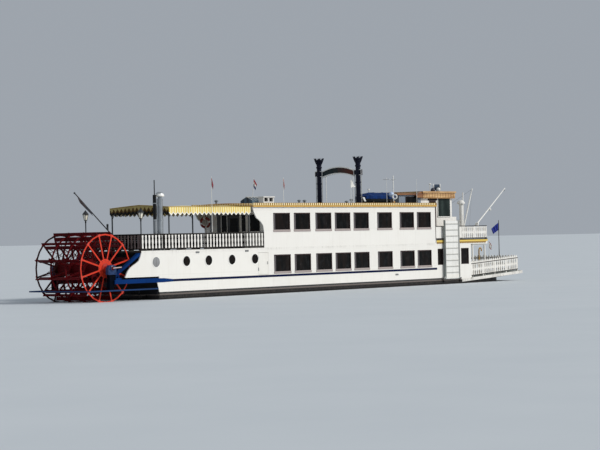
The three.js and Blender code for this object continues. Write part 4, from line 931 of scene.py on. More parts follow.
# Black enamel over rough castings; the opal panes look milky by day
iron = painted("Black paint on cast iron", "#1F2226", "#3A3733", 0.45, 0.5, peel=0.4)
opal, tree, place = blank("Opal lantern glass")
cloud = put(tree, "ShaderNodeTexNoise", {"Vector": place, "Scale": 9, "Detail": 3})
surfaced(opal, {"Base Color": coats(tree, "#E6DFC8", (cloud, "#F6F2E4")), "Roughness": 0.25, "IOR": 1.5})
LANTERN_POST = [(0.09, 0), (0.09, 0.05), (0.07, 0.08), (0.05, 0.14), (0.065, 0.2), (0.04, 0.26), (0.036, 0.9),
                (0.055, 0.94), (0.036, 0.98), (0.034, 1.7), (0.06, 1.76), (0.04, 1.82), (0.1, 1.86), (0.1, 1.885)]
LANTERN_HOOD = [(0.185, 0), (0.195, 0.02), (0.1, 0.15), (0.06, 0.18), (0.06, 0.21), (0.02, 0.22), (0.026, 0.25),
                (0, 0.28)]
for side, s in SIDES:
    x, y = 1.11, s * 2.29
    mesh = bmesh.new()
    turned(mesh, LANTERN_POST, (x, y, DECK), sides=12)
    for i in range(4):
        a = math.pi / 4 + i * math.pi / 2
        rod(mesh, (x + 0.085 * math.cos(a), y + 0.085 * math.sin(a), 4.75),
            (x + 0.165 * math.cos(a), y + 0.165 * math.sin(a), 5.1), 0.012, sides=6)
    turned(mesh, LANTERN_HOOD, (x, y, 5.08))
    post = fit(build(f"lantern_post_{side}", mesh, iron), smooth=35)
    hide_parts(f"lantern_{side}")
    mesh = bmesh.new()
    turned(mesh, [(0.105, 0), (0.215, 0.34)], (x, y, 4.755), sides=4)
    bmesh.ops.scale(mesh, vec=(0.72, 0.72, 1), space=Matrix.Translation(-ship(x, y, 0)), verts=mesh.verts)
    bmesh.ops.rotate(mesh, cent=ship(x, y, 0), matrix=Matrix.Rotation(math.pi / 4, 3, "Z"), verts=mesh.verts)
    fit(build(f"lantern_glass_{side}", mesh, opal))

# ---------------------------------------------------------------- Paddle wheel
# Flat-bar discs riveted to a drum, with dark red float boards bolted across. The outer
# discs are bright red; crossed rods brace one disc to the next.

# Signal red keeps its gloss; on the hubs grease dulls it, and the floats are wet and brown
bright_red = painted("Signal red enamel on flat bar", "#DD3F28", "#8E2417", 0.36, 0.4, coat=0.2)
hub_red = painted("Red enamel on the hubs, dulled by grease", "#B32D1E", "#5E1A12", 0.4, 0.5, spec=0.2)
dark_red = painted("Dark red paint, wet and stained", "#5C0E13", "#1E0708", 0.45, 0.75, peel=0.35, spec=0.05)


def faced(outward, edges, inner, s):
    """One tone on faces that look outboard on side s, one on edges and one on faces that look inboard; the darker two
    are painted shade.
    """
    return zones(inner, (((0, s, 0), -0.5), edges), (((0, s, 0), 0.5), outward))


# each outer disc is signal red outboard, with painted shade in dark red on its edges and near black inboard
for side, s in SIDES:
    dress(painted(
        f"Signal red outside, dull inside, {side} disc", "#DD3F28", "#5E1A14", 0.4, 0.4,
        pattern=faced("#DD3F28", "#4A120E", "#200809", s), spec=0.2), f"wheel_disc_{side}")
dress(dark_red, "wheel_core", "wheel_shaft")
SHAFT = (-1.4, 0, 1.92)
SPOKE = math.radians(13.7)
ROUND = dict(count=12, centre=SHAFT, turn=(0, 30, 0))


def on_wheel(radius, y, degrees=0.0):
    """A place on the wheel by its radius and its angle from the first spoke."""
    a = SPOKE + math.radians(degrees)
    return SHAFT[0] + radius * math.cos(a), y, SHAFT[2] + radius * math.sin(a)


mesh = bmesh.new()
for low, high in ((-1.8, -0.64), (-0.58, 0.58), (0.64, 1.8)):
    rod(mesh, on_wheel(0.62, low), on_wheel(1.8, high), 0.016, sides=6)
    rod(mesh, on_wheel(0.62, high), on_wheel(1.8, low), 0.016, sides=6)
    rod(mesh, on_wheel(1.3, low, 0), on_wheel(1.3, high, 30), 0.014, sides=6)
fit(copies(build("wheel_bracing", mesh, dark_red), **ROUND), "paddle_wheel")
for side, s in SIDES:
    y = s * 1.859
    mesh = bmesh.new()
    turned(mesh, [(0.03, 0), (0.03, 0.02), (0.018, 0.03), (0, 0.032)], on_wheel(0.46, y, 15), (0, s, 0), 8)
    for radius, degrees in ((0.62, 0.0), (1.94, 0.7), (1.94, -0.7)):
        turned(mesh, [(0.022, 0), (0.022, 0.018), (0, 0.024)], on_wheel(radius, y, degrees), (0, s, 0), 8)
    plate(mesh, [on_wheel(1.88, y, -3), on_wheel(2.0, y, -3), on_wheel(2.0, y, 3), on_wheel(1.88, y, 3)],
          (0, s * 0.014, 0))
    fit(copies(build(f"wheel_rivets_{side}", mesh, bright_red), **ROUND), "paddle_wheel", smooth=30)
    mesh = bmesh.new()
    turned(mesh, [(0.3, 0), (0.3, 0.03), (0.16, 0.06), (0.13, 0.2), (0.102, 0.2), (0.102, 0)],
           (SHAFT[0], y, SHAFT[2]), (0, s, 0), 24, closed=True)
    fit(build(f"wheel_hub_{side}", mesh, hub_red), "paddle_wheel", smooth=30)
# bolts and washers that hold the float boards to the cleats
mesh = bmesh.new()
square = Vector((-math.sin(SPOKE), 0, math.cos(SPOKE)))
for radius in (1.72, 1.82, 2.04, 2.11):
    for y in (-1.74, -0.66, -0.56, 0.56, 0.66, 1.74):
        foot = Vector(on_wheel(radius, y)) + square * 0.094
        turned(mesh, [(0.02, 0), (0.02, 0.014), (0, 0.02)], tuple(foot), tuple(square), 6)
fit(copies(build("float_bolts", mesh, dark_red), **ROUND), "paddle_wheel")

# ---------------------------------------------------------------- Girders, bearings and guard
# Welded box girders in blue enamel carry the wheel's bearings, bolted down on top. A
# bent flat bar guards the wheel, and thin pipes take grease to the bearings.

# Grease turns the bearings' blue nearly black and glossy
grease_blue = painted("Blue paint under grease", "#12315E", "#0C0F14", 0.35, 0.8, spec=0.4)
SHADE_BLACK = "#05070D"


def girder_tones(s):
    """Blue outside with painted shade inboard; painted shade near black above the cover plate and down the pillar,
    darker low on the strut.
    """
    def tones(tree, place):
        z = put(tree, "ShaderNodeSeparateXYZ", {0: place}, "Z")
        low = put(tree, "ShaderNodeMapRange", {
            "Value": z, "From Min": level(1.36), "From Max": level(1.4), "To Min": 1.0, "To Max": 0.0})
        strip = put(tree, "ShaderNodeMath", {
            "operation": "MULTIPLY", 0: within(tree, place, x=(-0.68, None), z=(1.262, None)), 1: low})
        climb = put(tree, "ShaderNodeMapRange", {
            "Value": z, "From Min": level(1.5), "From Max": level(2.5), "To Min": 0.65, "To Max": 0.0})
        strut = put(tree, "ShaderNodeMath", {
            "operation": "MULTIPLY", 0: within(tree, place, z=(1.36, None)), 1: climb})
        return coats(tree, faced("#0C336D", "#0F386F", "#0A0E1C", s)(tree, place), (strut, "#0A1230"),
                     (strip, SHADE_BLACK), (within(tree, place, x=(None, -1.15)), SHADE_BLACK))
    return tones


# Old primer: pale, pinkish and flat
pipe_pink = painted("Faded primer on the grease pipe", "#C9B0AC", "#8A716C", 0.5, 0.4)
for side, s in SIDES:
    # Blue that soot and spray keep from shining, with painted shade on its inboard faces
    dress(painted(
        f"Blue enamel, sooty inboard, {side} girder", "#0C336D", "#0A1B3C", 0.5, 0.45, pattern=girder_tones(s),
        spec=0.02), f"girder_{side}")
    barred(f"grease_pipe_{side}", pipe_pink, [
        ((-1.4, s * 2.47, 1.93), (-0.73, s * 2.47, 1.97), 0.03),
        ((-0.76, s * 2.39, 1.97), (-0.76, s * 2.49, 1.97), 0.03)], smooth=40)
    dress(grease_blue, f"bearing_{side}")
    mesh = bmesh.new()
    for x in (-1.62, -1.18):
        for z in (1.66, 1.9):
            turned(mesh, [(0.035, 0), (0.035, 0.03), (0.02, 0.045), (0, 0.046)], (x, s * 2.419, z), (0, s, 0), 6)
    turned(mesh, [(0.17, 0), (0.17, 0.03), (0.12, 0.05), (0.12, 0.02), (0.115, 0)], (SHAFT[0], s * 2.419, SHAFT[2]),
           (0, s, 0), 20, closed=True)
    fit(build(f"bearing_cap_{side}", mesh, grease_blue), smooth=30)
# The guard is rubbed dull; the engine's grey is oily and even
dress(painted(
    "Blue paint on the guard bar", "#1B3A66", "#14233C", 0.45, 0.5, spec=0.15), "wheel_guard")
dress(painted("Grey engine enamel", "#4C5154", "#2A2B2B", 0.45, 0.5), "engine")

# ---------------------------------------------------------------- Gangway
# Aluminium boarding ramp, hinged at the sill and stowed upright: a white panel with
# cleats screwed across it, between grey rails on short stands.

# Worn paint over aluminium: white where it is walked on least, bare grey on the rails
BARE_RAIL = "#8F9794"
dress(painted(
    "White paint and bare rails on aluminium", "#ECEBE6", "#A6A49D", 0.42, 0.35,
    pattern=zones("#ECEBE6", (dict(x=(None, 30.79)), BARE_RAIL), (dict(x=(32.37, None)), BARE_RAIL))), "gangway")
# Light grey enamel, a little chalky
rail_grey = painted("Grey paint on the boom's and skylight's bars", "#B9B8B2", "#8B8880", 0.5, 0.4)
CLEAT_STEP = 4.02 / 9.5
mesh = bmesh.new()
for i in range(1, 10):
    z = 0.38 + i * CLEAT_STEP
    block(mesh, (30.76, 32.4), (-2.688, -2.695), (z - 0.03, z + 0.03))
for x in (30.755, 32.405):
    rod(mesh, (x, -2.73, 0.5), (x, -2.73, 4.42), 0.022)
    for i in range(6):
        z = 0.6 + i * 0.75
        rod(mesh, (x, -2.705, z), (x, -2.73, z), 0.016)
fit(build("gangway_cleats", mesh, rail_grey), "gangway")
mesh = bmesh.new()
plate(mesh, upright(-2.66, (30.64, 0.42), (32.52, 0.42), (32.4, 0.66), (30.76, 0.66)), (0, -0.02, 0))
fit(build("gangway_foot", mesh, door_paint), "gangway")

# ---------------------------------------------------------------- Pipes and funnels
# Silver exhaust with a mushroom cap beside a black flue; two navy funnels with
# spiked crowns, their joint rings lapped and riveted, and steam pipes up their sides.


def sheet_steel(name, pale, dark):
    """Bare rolled sheet: bright, brushed along its length, cloudy with heat and rain."""
    made, tree, place = blank(name)
    brushed = put(tree, "ShaderNodeMapping", {"Vector": place, "Scale": (60, 60, 2)})
    lines = put(tree, "ShaderNodeTexNoise", {"Vector": brushed, "Scale": 1, "Detail": 4})
    stain = put(tree, "ShaderNodeTexNoise", {"Vector": place, "Scale": 4, "Detail": 6})
    gloss = put(tree, "ShaderNodeMapRange", {"Value": lines, "To Min": 0.22, "To Max": 0.42})
    relief = put(tree, "ShaderNodeBump", {"Height": lines, "Strength": 0.1, "Distance": 0.002})
    return surfaced(made, {
        "Base Color": coats(tree, pale, (stain, dark)), "Metallic": 0.8, "Roughness": gloss, "Normal": relief})


silver = sheet_steel("Stainless sheet, brushed", "#C6CACD", "#8A8F93")
# Stove paint is soot black and flat, burnt off low down; the funnels' navy has a soft, even gloss
black_stove = painted("Black stove paint over bare steel", "#101216", "#2A2725", 0.55, 0.5, spec=0.2,
                      pattern=zones("#8B9094", (dict(z=(4.7, None)), "#101216")))
navy = painted("Navy enamel on rolled plate", "#121427", "#1C1D26", 0.35, 0.4, spec=0.15)
dress(silver, "exhaust_silver")
dress(black_stove, "exhaust_black")
EXHAUST, FLUE = (2.95, -2.06), (2.52, -2.06)
mesh = bmesh.new()
turned(mesh, [(0.275, 0), (0.28, 0.03), (0.26, 0.12), (0.2, 0.2), (0.1, 0.26), (0, 0.275)], (*EXHAUST, 6.04), sides=24)
fit(build("exhaust_cap", mesh, ring_paint), smooth=50)
mesh = bmesh.new()
for z in (3.6, 4.6, 5.6):
    turned(mesh, [(0.186, 0), (0.2, 0.01), (0.2, 0.07), (0.186, 0.08)], (*EXHAUST, z), sides=20, closed=True)
    turned(mesh, [(0.106, 0), (0.12, 0.01), (0.12, 0.05), (0.106, 0.06)], (*FLUE, z), closed=True)
    block(mesh, (2.6, 2.78), (-2.075, -2.045), (z + 0.02, z + 0.05))
fit(build("exhaust_bands", mesh, silver), smooth=40)


def ringed(mesh, x, y, count, low, high, radius, tip=None):
    """Rods in a ring round an upright axis, from a (radius, height) to another."""
    for i in range(count):
        a = math.tau * i / count
        start, end = ((x + r * math.cos(a), y + r * math.sin(a), z) for r, z in (low, high))
        rod(mesh, start, end, radius, tip, sides=6)


for side, s in SIDES:
    dress(navy, f"funnel_{side}")
    x, y = 22.4, s * 1.67
    mesh = bmesh.new()
    for z in (6.2, 6.7):
        turned(mesh, [(0.16, 0), (0.178, 0.008), (0.178, 0.045), (0.16, 0.053)], (x, y, z), sides=20, closed=True)
    ringed(mesh, x, y, 12, (0.27, 8.62), (0.34, 8.8), 0.02, 0.004)
    ringed(mesh, x, y, 12, (0.19, 8.37), (0.285, 8.6), 0.012)
    turned(mesh, [(0.275, 0), (0.305, 0.01), (0.31, 0.05), (0.28, 0.06)], (x, y, 8.6), sides=24, closed=True)
    fit(build(f"funnel_rings_{side}", mesh, navy), smooth=40)
    boxes = []
    for x0, x1 in ((-0.062, -0.076), (0.062, 0.076)):
        boxes += [((x + x0, x + x1), (y - 0.325, y + 0.325), (z, z + 0.03)) for z in (7.525, 7.865)]
        boxes += [((x + x0, x + x1), (y + dy, y + dy + 0.03), (7.555, 7.865)) for dy in (-0.325, 0.295)]
    boxed(f"funnel_plates_{side}", ring_paint, boxes)
    mesh = bmesh.new()
    for dy in (-0.27, 0.27):
        rod(mesh, (x, y + dy, 5.6), (x, y + dy, 7.5), 0.022)
        for z in (6.1, 6.9):
            rod(mesh, (x, y + dy, z), (x, y, z), 0.014, sides=6)
    fit(build(f"steam_pipes_{side}", mesh, rail_grey), smooth=40)

# ---------------------------------------------------------------- Arched board
# Sheet steel cut to an arch and edged with white mouldings, standing on props between
# the funnels over the roof.


def arch_tones(tree, place):
    """Dark teal, rusting red-brown towards starboard."""
    y = put(tree, "ShaderNodeSeparateXYZ", {0: place}, "Y")
    rust = put(tree, "ShaderNodeMapRange", {"Value": y, "From Min": 0.1, "From Max": -0.45})
    return coats(tree, "#16282B", (rust, "#54261C"))


# Enamel breaking down into rust: satin teal that turns matt and red-brown
dress(painted(
    "Dark teal enamel on the arch, rusting", "#16282B", "#5A3A2C", 0.45, 0.6, pattern=arch_tones,
    spec=0.25), "arch_board")
SPAN = 1.34
mesh = bmesh.new()
for low, rise in ((7.475, 0.22), (7.85, 0.265)):
    curve = [(y, low + rise * (1 - (y / SPAN) ** 2)) for y in (SPAN * (i / 12 - 1) for i in range(25))]
    for x0, x1 in ((22.43, 22.455), (22.37, 22.345)):
        for (ya, za), (yb, zb) in zip(curve, curve[1:]):
            plate(mesh, [(x0, ya, za - 0.025), (x0, yb, zb - 0.025), (x0, yb, zb + 0.045), (x0, ya, za + 0.045)],
                  (x1 - x0, 0, 0))
fit(build("arch_moulding", mesh, ring_paint))
barred("arch_props", ring_paint, [((22.48, y, 5.62), (22.48, y, 7.52), 0.025) for y in (-1.15, 1.15)])

# ---------------------------------------------------------------- Dinghy
# Round-bilged workboat in white gelcoat on chocks, its hull drawn dark grey as painted
# shade, under a blue tarpaulin laced down over a ridge pole.

# Wet-looking white gelcoat, the hull's dark grey as painted shade, and coated cloth with hardly any bloom
gelcoat = painted("White gelcoat", "#E8E8E4", "#B5B3AA", 0.25, 0.25, coat=0.5)
shade_dark_hull = painted("Dark grey painted shade on the dinghy's hull", "#23272B", "#15171A", 0.55, 0.4, spec=0.25)
tarpaulin = canvas("Blue tarpaulin", "#0E3068", "#0C2A5C", 0.4, soil_tone="#183868", sheen=0.04)
BOAT = {"aft": 22.95, "fore": 26.6, "y": -1.45}
BOAT_LONG = BOAT["fore"] - BOAT["aft"]
# half breadths and keel heights along it, and the hem of its cover
WIDTHS = [(0.0, 0.47), (0.12, 0.585), (0.4, 0.645), (0.7, 0.56), (0.88, 0.34), (1.0, 0.05)]
KEELS = [(0.0, 5.76), (0.12, 5.72), (0.4, 5.7), (0.7, 5.72), (0.88, 5.78), (1.0, 5.92)]
HEM = 5.95


def along(table, s):
    """A value between the table's stations, eased part of the way."""
    for (a, low), (b, high) in zip(table, table[1:]):
        if s <= b:
            k = (s - a) / (b - a)
            k = k * k * (3 - 2 * k) * 0.4 + k * 0.6
            return low + (high - low) * k
    return table[-1][1]


def gunwale(s):
    """The sheer's height, rising to the bow."""
    return 6.13 + 0.06 * s * s


def hull_form(s, t):
    """From gunwale to gunwale round the bilge, t from 0 to 1."""
    half, keel = along(WIDTHS, s), along(KEELS, s)
    a = math.pi * t
    sweep = math.copysign(abs(math.cos(a)) ** 0.55, math.cos(a))
    deep = abs(math.sin(a)) ** 0.75
    return BOAT["aft"] + s * BOAT_LONG, BOAT["y"] + half * sweep, gunwale(s) - (gunwale(s) - keel) * deep


boat = cloth("dinghy_hull", 26, 20, (3.65, 1.6), hull_form, shade_dark_hull, 0.03)
mesh = bmesh.new()
plate(mesh, [hull_form(0, t / 20) for t in range(21)], (0.03, 0, 0))
fit(build("dinghy_transom", mesh, shade_dark_hull))
fit(boat, smooth=60)


def cover_form(s, t):
    """The tarpaulin over its ridge pole, down both sides to the hem and folded down at the ends."""
    flap = max(0, 0.05 - s, s - 0.95) / 0.05
    u = min(max((s - 0.05) / 0.9, 0), 1)
    half = along(WIDTHS, u) + 0.022
    x = BOAT["aft"] - 0.02 + u * (BOAT_LONG + 0.04) + math.copysign(0.03 * flap ** 0.5, s - 0.5)
    ridge = 6.385 - 0.02 * math.sin(math.tau * u * 1.5) ** 2
    ridge -= 0.14 * (max(0, u - 0.78) / 0.22) ** 2 + 0.2 * (max(0, 0.22 - u) / 0.22) ** 1.6
    side = 2 * t - 1
    if abs(side) > 0.7:
        k = (abs(side) - 0.7) / 0.3
        y = BOAT["y"] + math.copysign(half + 0.006 * math.sin(math.tau * u * 14) * k, side)
        z = gunwale(u) + (HEM + 0.012 * math.sin(math.tau * u * 7) - gunwale(u)) * k
    else:
        k = abs(side) / 0.7
        slack = 0.045 * math.sin(math.pi * k) * (0.5 + 0.5 * math.sin(math.tau * u * 6.3))
        y = BOAT["y"] + math.copysign(half * k, side)
        z = gunwale(u) + (ridge - gunwale(u)) * (1 - k ** 1.8) - slack
    return x, y, z + (HEM - z) * flap


COVER_LONG, COVER_WIDE = 4.3, 1.95
cover = cloth("dinghy_cover", 80, 40, (COVER_LONG, COVER_WIDE), cover_form, tarpaulin, 0.006)
fit(cover, smooth=60)
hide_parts("dinghy")
# Braided cord, drawn tight over the cover: a shade brighter than the cloth
cord_blue = painted("Blue cord on the cover", "#1F4684", "#17325E", 0.7, 0.3, spec=0.2)
mesh = bmesh.new()
for i in range(7):
    bent(mesh, [(x, y, z + 0.012) for x, y, z in (cover_form(0.14 + i * 0.12, t / 16) for t in range(17))], 0.008, 5)
fit(build("cover_lashings", mesh, cord_blue))
# Oak left nearly bare: dark and dry; vinyl fenders: pale, smooth and soft in their shine
oak = timber("Oak chocks", "#4C3B28", "#2A2016", 0.6, "Y", coat=0.1)
vinyl = painted("Pale blue vinyl fender", "#B9CBE6", "#8FA2BE", 0.35, 0.3)
mesh = bmesh.new()
for x in (23.7, 25.6):
    block(mesh, (x - 0.05, x + 0.05), (-1.93, -0.97), (5.64, 5.78))
    for y, lean in ((-1.9, 0.02), (-1.0, 0.03)):
        plate(mesh, [(x - 0.05, y + dy, z) for dy, z in ((-0.05, 5.76), (0.05, 5.76), (lean, 5.95), (-0.03, 5.95))],
              (0.1, 0, 0))
fit(build("dinghy_chocks", mesh, oak))
mesh = bmesh.new()
turned(mesh, [(0, -0.19), (0.08, -0.175), (0.155, -0.11), (0.185, -0.03), (0.185, 0.03), (0.155, 0.11),
              (0.08, 0.175), (0, 0.2)], (25.25, -2.25, 6.22), (0, 0, 1), 18)
rod(mesh, (25.25, -2.25, 6.38), (25.25, -2.04, 6.2), 0.012, sides=6)
rod(mesh, (25.24, -2.55, 6.22), (25.3, -2.02, 6.2), 0.012, sides=6)
fit(build("dinghy_fender", mesh, vinyl), smooth=60)


def ring_section(middle, wide, high, count):
    """The round section of a ring, as a profile for turned()."""
    return [(middle + wide * math.cos(a), high * math.sin(a)) for a in (math.tau * i / count for i in range(count))]


mesh = bmesh.new()
turned(mesh, ring_section(0.14, 0.055, 0.055, 10), (25.22, -2.55, 6.07), (-0.77, -0.64, 0), 24, closed=True)
fit(build("dinghy_ring_fender", mesh, gelcoat), smooth=60)
mesh = bmesh.new()
plate(mesh, upright(-1.9, (22.56, 6.05), (22.76, 6.05), (22.94, 5.77), (22.74, 5.77)), (0, 0.05, 0))
fit(build("dinghy_rudder_board", mesh, gelcoat), edge=0.012)

# ---------------------------------------------------------------- Roof fittings
# Glazed skylight, vent box and small vents, aerials, light poles and a searchlight,
# all screwed down through the roof's felt.
ROOF_TOP, CABIN_TOP = 5.6, 6.48
BARS, BAR_STEP = 5, 0.285
mesh = bmesh.new()
for s in (-1, 1):
    for i in range(BARS):
        x = 13.03 + i * BAR_STEP
        plate(mesh, [(x, s * y, z) for y, z in ((0.505, 5.858), (0.01, 6.092), (0.01, 6.11), (0.505, 5.876))],
              (0.035, 0, 0))
block(mesh, (12.98, 14.22), (-0.03, 0.03), (6.07, 6.115))
fit(build("skylight_bars", mesh, rail_grey))
# dark plates in the vent box's mouths: painted shade inside them
boxed("vent_mouths", shade_paint,
      [((x, x + 0.352), (-1.64, -1.6), (5.764, 5.986)) for x in (12.724, 13.204)])
# Patent glazing under the sky: blue-grey and softly blurred
dress(glass("Blue-grey skylight glass", "#5B7180", 0.12), "skylight")
# Enamelled tube: a clean white with a narrow highlight
mast_paint = painted("White enamel on tube", "#EDEBE5", "#B3ADA1", 0.35, 0.35, coat=0.2)
dress(mast_paint, "roof_mast", "ventilator", "fore_mast", "boom_heel", "boom")
mesh = bmesh.new()
rod(mesh, (24.68, -2.3, ROOF_TOP), (24.68, -2.3, 7.38), 0.014)
rod(mesh, (24.68, -2.58, 7.24), (24.68, -2.02, 7.24), 0.022)
rod(mesh, (24.75, -0.7, ROOF_TOP), (24.75, -0.7, 6.6), 0.016)
block(mesh, (24.7, 24.8), (-0.75, -0.65), (6.56, 6.66))
rod(mesh, (27.87, -2.45, ROOF_TOP), (27.87, -2.45, 7.3), 0.018, 0.01)
rod(mesh, (31.55, -0.9, CABIN_TOP), (31.5, -0.9, 7.0), 0.022)
turned(mesh, [(0, 0), (0.09, 0.02), (0.1, 0.08), (0.05, 0.12), (0, 0.13)], (31.42, -1.0, 6.96), sides=12)
turned(mesh, [(0, -0.15), (0.08, -0.13), (0.13, -0.08), (0.15, 0), (0.13, 0.08), (0.08, 0.13), (0, 0.15)],
       (32.18, -1.17, 6.63), sides=18)
fit(build("roof_aerials", mesh, mast_paint), smooth=40)
# The searchlight: a steel drum on a short post, its enamel grey-blue and chalky
lamp_blue = painted("Grey-blue enamel on the searchlight", "#3F4E62", "#2A3442", 0.4, 0.4)
LAMP, AIM = (32.3, -0.95, 6.8), (0.64, -0.77, 0)
mesh = bmesh.new()
turned(mesh, [(0.12, -0.27), (0.19, -0.24), (0.21, -0.1), (0.21, 0.24), (0.19, 0.26)], LAMP, AIM, 20)
rod(mesh, (*LAMP[:2], CABIN_TOP), (*LAMP[:2], 6.62), 0.05, sides=12)
fit(build("searchlight", mesh, lamp_blue), smooth=40)
mesh = bmesh.new()
for at in (-0.23, 0.23):
    turned(mesh, [(0.2, at - 0.03), (0.245, at - 0.03), (0.245, at + 0.03), (0.2, at + 0.03)], LAMP, AIM, 20,
           closed=True)
fit(build("searchlight_rims", mesh, ring_paint), smooth=40)
mesh = bmesh.new()
for x, y, h in ((17.2, -1.3, 0.25), (19.3, 0.9, 0.32), (21.2, -2.0, 0.3), (21.7, -1.2, 0.2), (11.7, 1.4, 0.3),
                (26.2, 1.5, 0.34)):
    turned(mesh, [(0.06, 0), (0.06, h - 0.08), (0.13, h - 0.06), (0.13, h - 0.02), (0.07, h + 0.03), (0, h + 0.04)],
           (x, y, ROOF_TOP), sides=14)
fit(build("roof_vents", mesh, galvanised), smooth=40)

# ---------------------------------------------------------------- Lifebuoys
# Moulded foam rings under red skin with four white bands, hung on hooks by the after
# door and in the bow.

# Sun-faded plastic: brownish red with a low, even sheen
buoy_red = painted("Red moulded ring", "#8E2A22", "#5A1C18", 0.5, 0.3)
BAND_DEGREES = 23


def lifebuoy(name, centre, axis):
    """A ring, and the four bands cut from a slightly fuller ring over it."""
    ring, bands = bmesh.new(), bmesh.new()
    turned(ring, ring_section(0.29, 0.075, 0.05, 12), centre, axis, 32, closed=True)
    turned(bands, ring_section(0.29, 0.08, 0.055, 12), centre, axis, 32, closed=True)
    middle = ship(*centre)
    unturn = Vector(axis).to_track_quat("Z", "X").to_matrix().transposed()
    gone = []
    for face in bands.faces:
        at = unturn @ (face.calc_center_median() - middle)
        if math.degrees(math.atan2(at.y, at.x)) % 90 > BAND_DEGREES:
            gone.append(face)
    bmesh.ops.delete(bands, geom=gone, context="FACES")
    bmesh.ops.holes_fill(bands, edges=bands.edges, sides=0)
    fit(build(f"{name}_ring", ring, buoy_red), smooth=50)
    fit(build(f"{name}_bands", bands, ring_paint), smooth=50)


lifebuoy("lifebuoy_aft", (11.4, 2.1, 4.52), (-0.9, -0.43, 0))
lifebuoy("lifebuoy_bow", (34.2, 0.75, 2.0), (1, 0, 0))

# ---------------------------------------------------------------- Staffs and flags
# Polyester flags hang slack from thin white staffs clamped to the rails and the roof;
# the ensign is gathered on its raked pole over the wheel, above the stern light.

# Dull dark grey on the raked pole
staff_grey = painted("Dark grey paint on the ensign staff", "#39383A", "#222123", 0.45, 0.4, spec=0.25)
dress(staff_grey, "ensign_staff")
mesh = bmesh.new()
turned(mesh, [(0, -0.06), (0.045, -0.035), (0.06, 0), (0.045, 0.035), (0, 0.06)], (-1.94, 0, 6.28), sides=14)
fit(build("staff_truck", mesh, staff_grey), smooth=60)
mesh = bmesh.new()
turned(mesh, [(0.05, 0), (0.075, 0.03), (0.06, 0.06), (0.06, 0.26), (0.075, 0.3), (0.05, 0.34), (0, 0.37)],
       (0.66, 0, 4.13), sides=14)
fit(build("stern_light", mesh, iron), smooth=35)


def bunting(name, bands):
    """Flag cloth in bands across its hoist: the eye gets thin, faded colour and a faint weave."""
    made, tree, place = blank(name)
    laid = put(tree, "ShaderNodeTexCoord", {}, "UV")
    down = put(tree, "ShaderNodeSeparateXYZ", {0: laid}, "Y")
    layers = [(put(tree, "ShaderNodeMath", {"operation": "GREATER_THAN", 0: down, 1: start}), code)
              for start, code in bands[1:]]
    fade = put(tree, "ShaderNodeTexNoise", {"Vector": place, "Scale": 14, "Detail": 4})
    faded = put(tree, "ShaderNodeMapRange", {"Value": fade, "From Min": 0.4, "From Max": 0.9, "To Max": 0.25})
    weave = put(tree, "ShaderNodeTexWave", {"Vector": laid, "Scale": 60, "Detail": 1})
    relief = put(tree, "ShaderNodeBump", {"Height": weave, "Strength": 0.1, "Distance": 0.001})
    return surfaced(made, {
        "Base Color": coats(tree, bands[0][1], *layers, (faded, "#8C8480")), "Roughness": 0.8,
        "Sheen Weight": 0.15, "Normal": relief})


def mean_length(lines):
    """The mean length of three lines of places."""
    return sum((p - q).length for line in lines for p, q in zip(line, line[1:])) / 3


def flag(name, head, foot, fly, out, bands, folds=3, spread=0.34, taper=0.0):
    """A slack flag: its hoist from head to foot of the staff, its fly gathered into folds that droop."""
    a, b = Vector(head), Vector(foot)
    hoist = (b - a).length
    flow = Vector(out).normalized()
    sky = Vector((0, 0, 1))
    across = flow.cross(sky)

    def place(s, t):
        on_staff = a + (b - a) * (t + taper * s * (0.5 - t))
        reach = fly * spread * s
        wave = 0.05 * hoist * math.sin(math.tau * folds * s + 2.2 * t) * min(1, 4 * s)
        droop = fly * (1 - spread) * s ** 1.15 * (1 - 0.35 * t)
        return on_staff + flow * reach * (1 - 0.25 * t) + across * wave - sky * droop

    steps = [i / 40 for i in range(41)]
    long = mean_length([[place(s, t) for s in steps] for t in (0, 0.5, 1)])
    wide = mean_length([[place(s, t) for t in steps] for s in (0, 0.5, 1)])
    finish = bunting(f"Bunting of {name}", [(start * wide / 2, code) for start, code in bands])
    sheet = cloth(name, 36, 14, (long, wide), lambda s, t: tuple(place(s, t)), finish, 0.005)
    fit(sheet, smooth=70)


RAIL_STAFFS = ((6.94, -2.56, 3.9), (13.57, -2.615, 5.5), (20.39, -2.615, 5.5))
barred("staffs", mast_paint, [
    *(((x, y, foot), (x, y, 7.25), 0.02, 0.013) for x, y, foot in RAIL_STAFFS),
    ((14.9, 1.2, 5.62), (15.15, 1.2, 7.35), 0.02, 0.012),
    ((37.28, -1.9, 0.6), (37.28, -1.9, 2.95), 0.02, 0.014)], smooth=40)
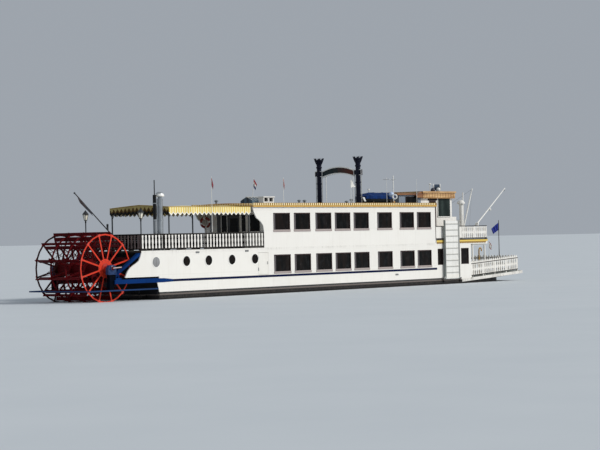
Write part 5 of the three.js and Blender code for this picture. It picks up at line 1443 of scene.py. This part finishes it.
# Pine stained nearly black, with little varnish left
jack_pine = timber("Dark stained pine staff", "#3A2418", "#1C110B", along="Z", coat=0.1)
barred("jack_staff", jack_pine, [((40.2, -0.8, 0.72), (40.2, -0.8, 4.43), 0.035, 0.022)], smooth=40)
LEE = (0.64, -0.77, 0)
TRICOLOUR = [(0, "#A02530"), (0.34, "#E6E2DA"), (0.67, "#22386F")]
RED_EDGED = [(0, "#B03A3A"), (0.14, "#E9E6DF"), (0.84, "#B03A3A")]
for name, (x, y, _), foot, fly, out, code, folds, spread, taper in (
        ("flag_aft", RAIL_STAFFS[0], 6.75, 0.6, LEE, "#9C1F33", 2, 0.2, 0.0),
        ("flag_amidships", RAIL_STAFFS[1], 6.75, 0.5, LEE, "#C24A34", 2, 0.14, 0.0),
        ("flag_fore", RAIL_STAFFS[2], 6.64, 0.72, (0.94, -0.34, 0), "#EFECE4", 1, 0.57, 0.94)):
    flag(name, (x, y, 7.2), (x, y, foot), fly, out, [(0, code)], folds, spread, taper)
flag("flag_roof", (15.13, 1.2, 7.3), (15.06, 1.2, 6.8), 0.55, LEE, TRICOLOUR, 2, 0.35)
flag("flag_jack", (40.2, -0.8, 4.25), (40.2, -0.8, 3.7), 1.0, (-0.64, 0.77, 0), [(0, "#2238A8")], 3, 0.55)
flag("flag_bow", (37.28, -1.9, 2.9), (37.28, -1.9, 2.45), 0.5, LEE, RED_EDGED, 2, 0.4)
# the ensign's near-black maroon and navy are painted shade: it hangs furled in shadow over the wheel
flag("ensign", (-1.82, -0.03, 6.16), (-0.72, -0.03, 5.24), 0.62, LEE, [(0, "#2A0B10"), (0.55, "#0E1328")], 4, 0.3)

# ---------------------------------------------------------------- Fore deck gear
# A bent tube davit on a bolted foot in ochre paint, the fore mast's two taut wire
# stays, and the sheave at the boom's tip.

# Ochre brushed on by hand, worn brown where ropes run
ochre = painted("Ochre paint on the davit post", "#BC8F34", "#745220", 0.5, 0.4)
DAVIT, BEND = (37.0, -1.2), 0.16
mesh = bmesh.new()
rod(mesh, (*DAVIT, 0.52), (*DAVIT, 2.2), 0.06, 0.05, 10)
bent(mesh, [(DAVIT[0] + BEND * math.cos(a) + BEND, DAVIT[1], 2.2 + 0.24 * math.sin(a))
            for a in (math.pi - math.pi * i / 8 for i in range(9))], 0.045, 8)
block(mesh, (36.88, 37.12), (-1.32, -1.08), (0.5, 0.6))
fit(build("davit_post", mesh, ochre), smooth=50)
MASTHEAD = (37.12, -0.62, 6.7)
barred("mast_stays", galvanised, [(MASTHEAD, (34.3, y, 4.05), 0.008, None, 5) for y in (-2.3, 2.3)])
BOOM_LONG, BOOM_RISE = 4.4, math.radians(35)
tip_x, tip_z = 36.29 + BOOM_LONG * math.cos(BOOM_RISE), 4.19 + BOOM_LONG * math.sin(BOOM_RISE)
mesh = bmesh.new()
turned(mesh, [(0.045, 0), (0.05, 0.02), (0.05, 0.1), (0.03, 0.12), (0, 0.125)], (tip_x - 0.05, -1.58, tip_z - 0.16),
       sides=12)
fit(build("boom_sheave", mesh, galvanised), "boom", smooth=40)
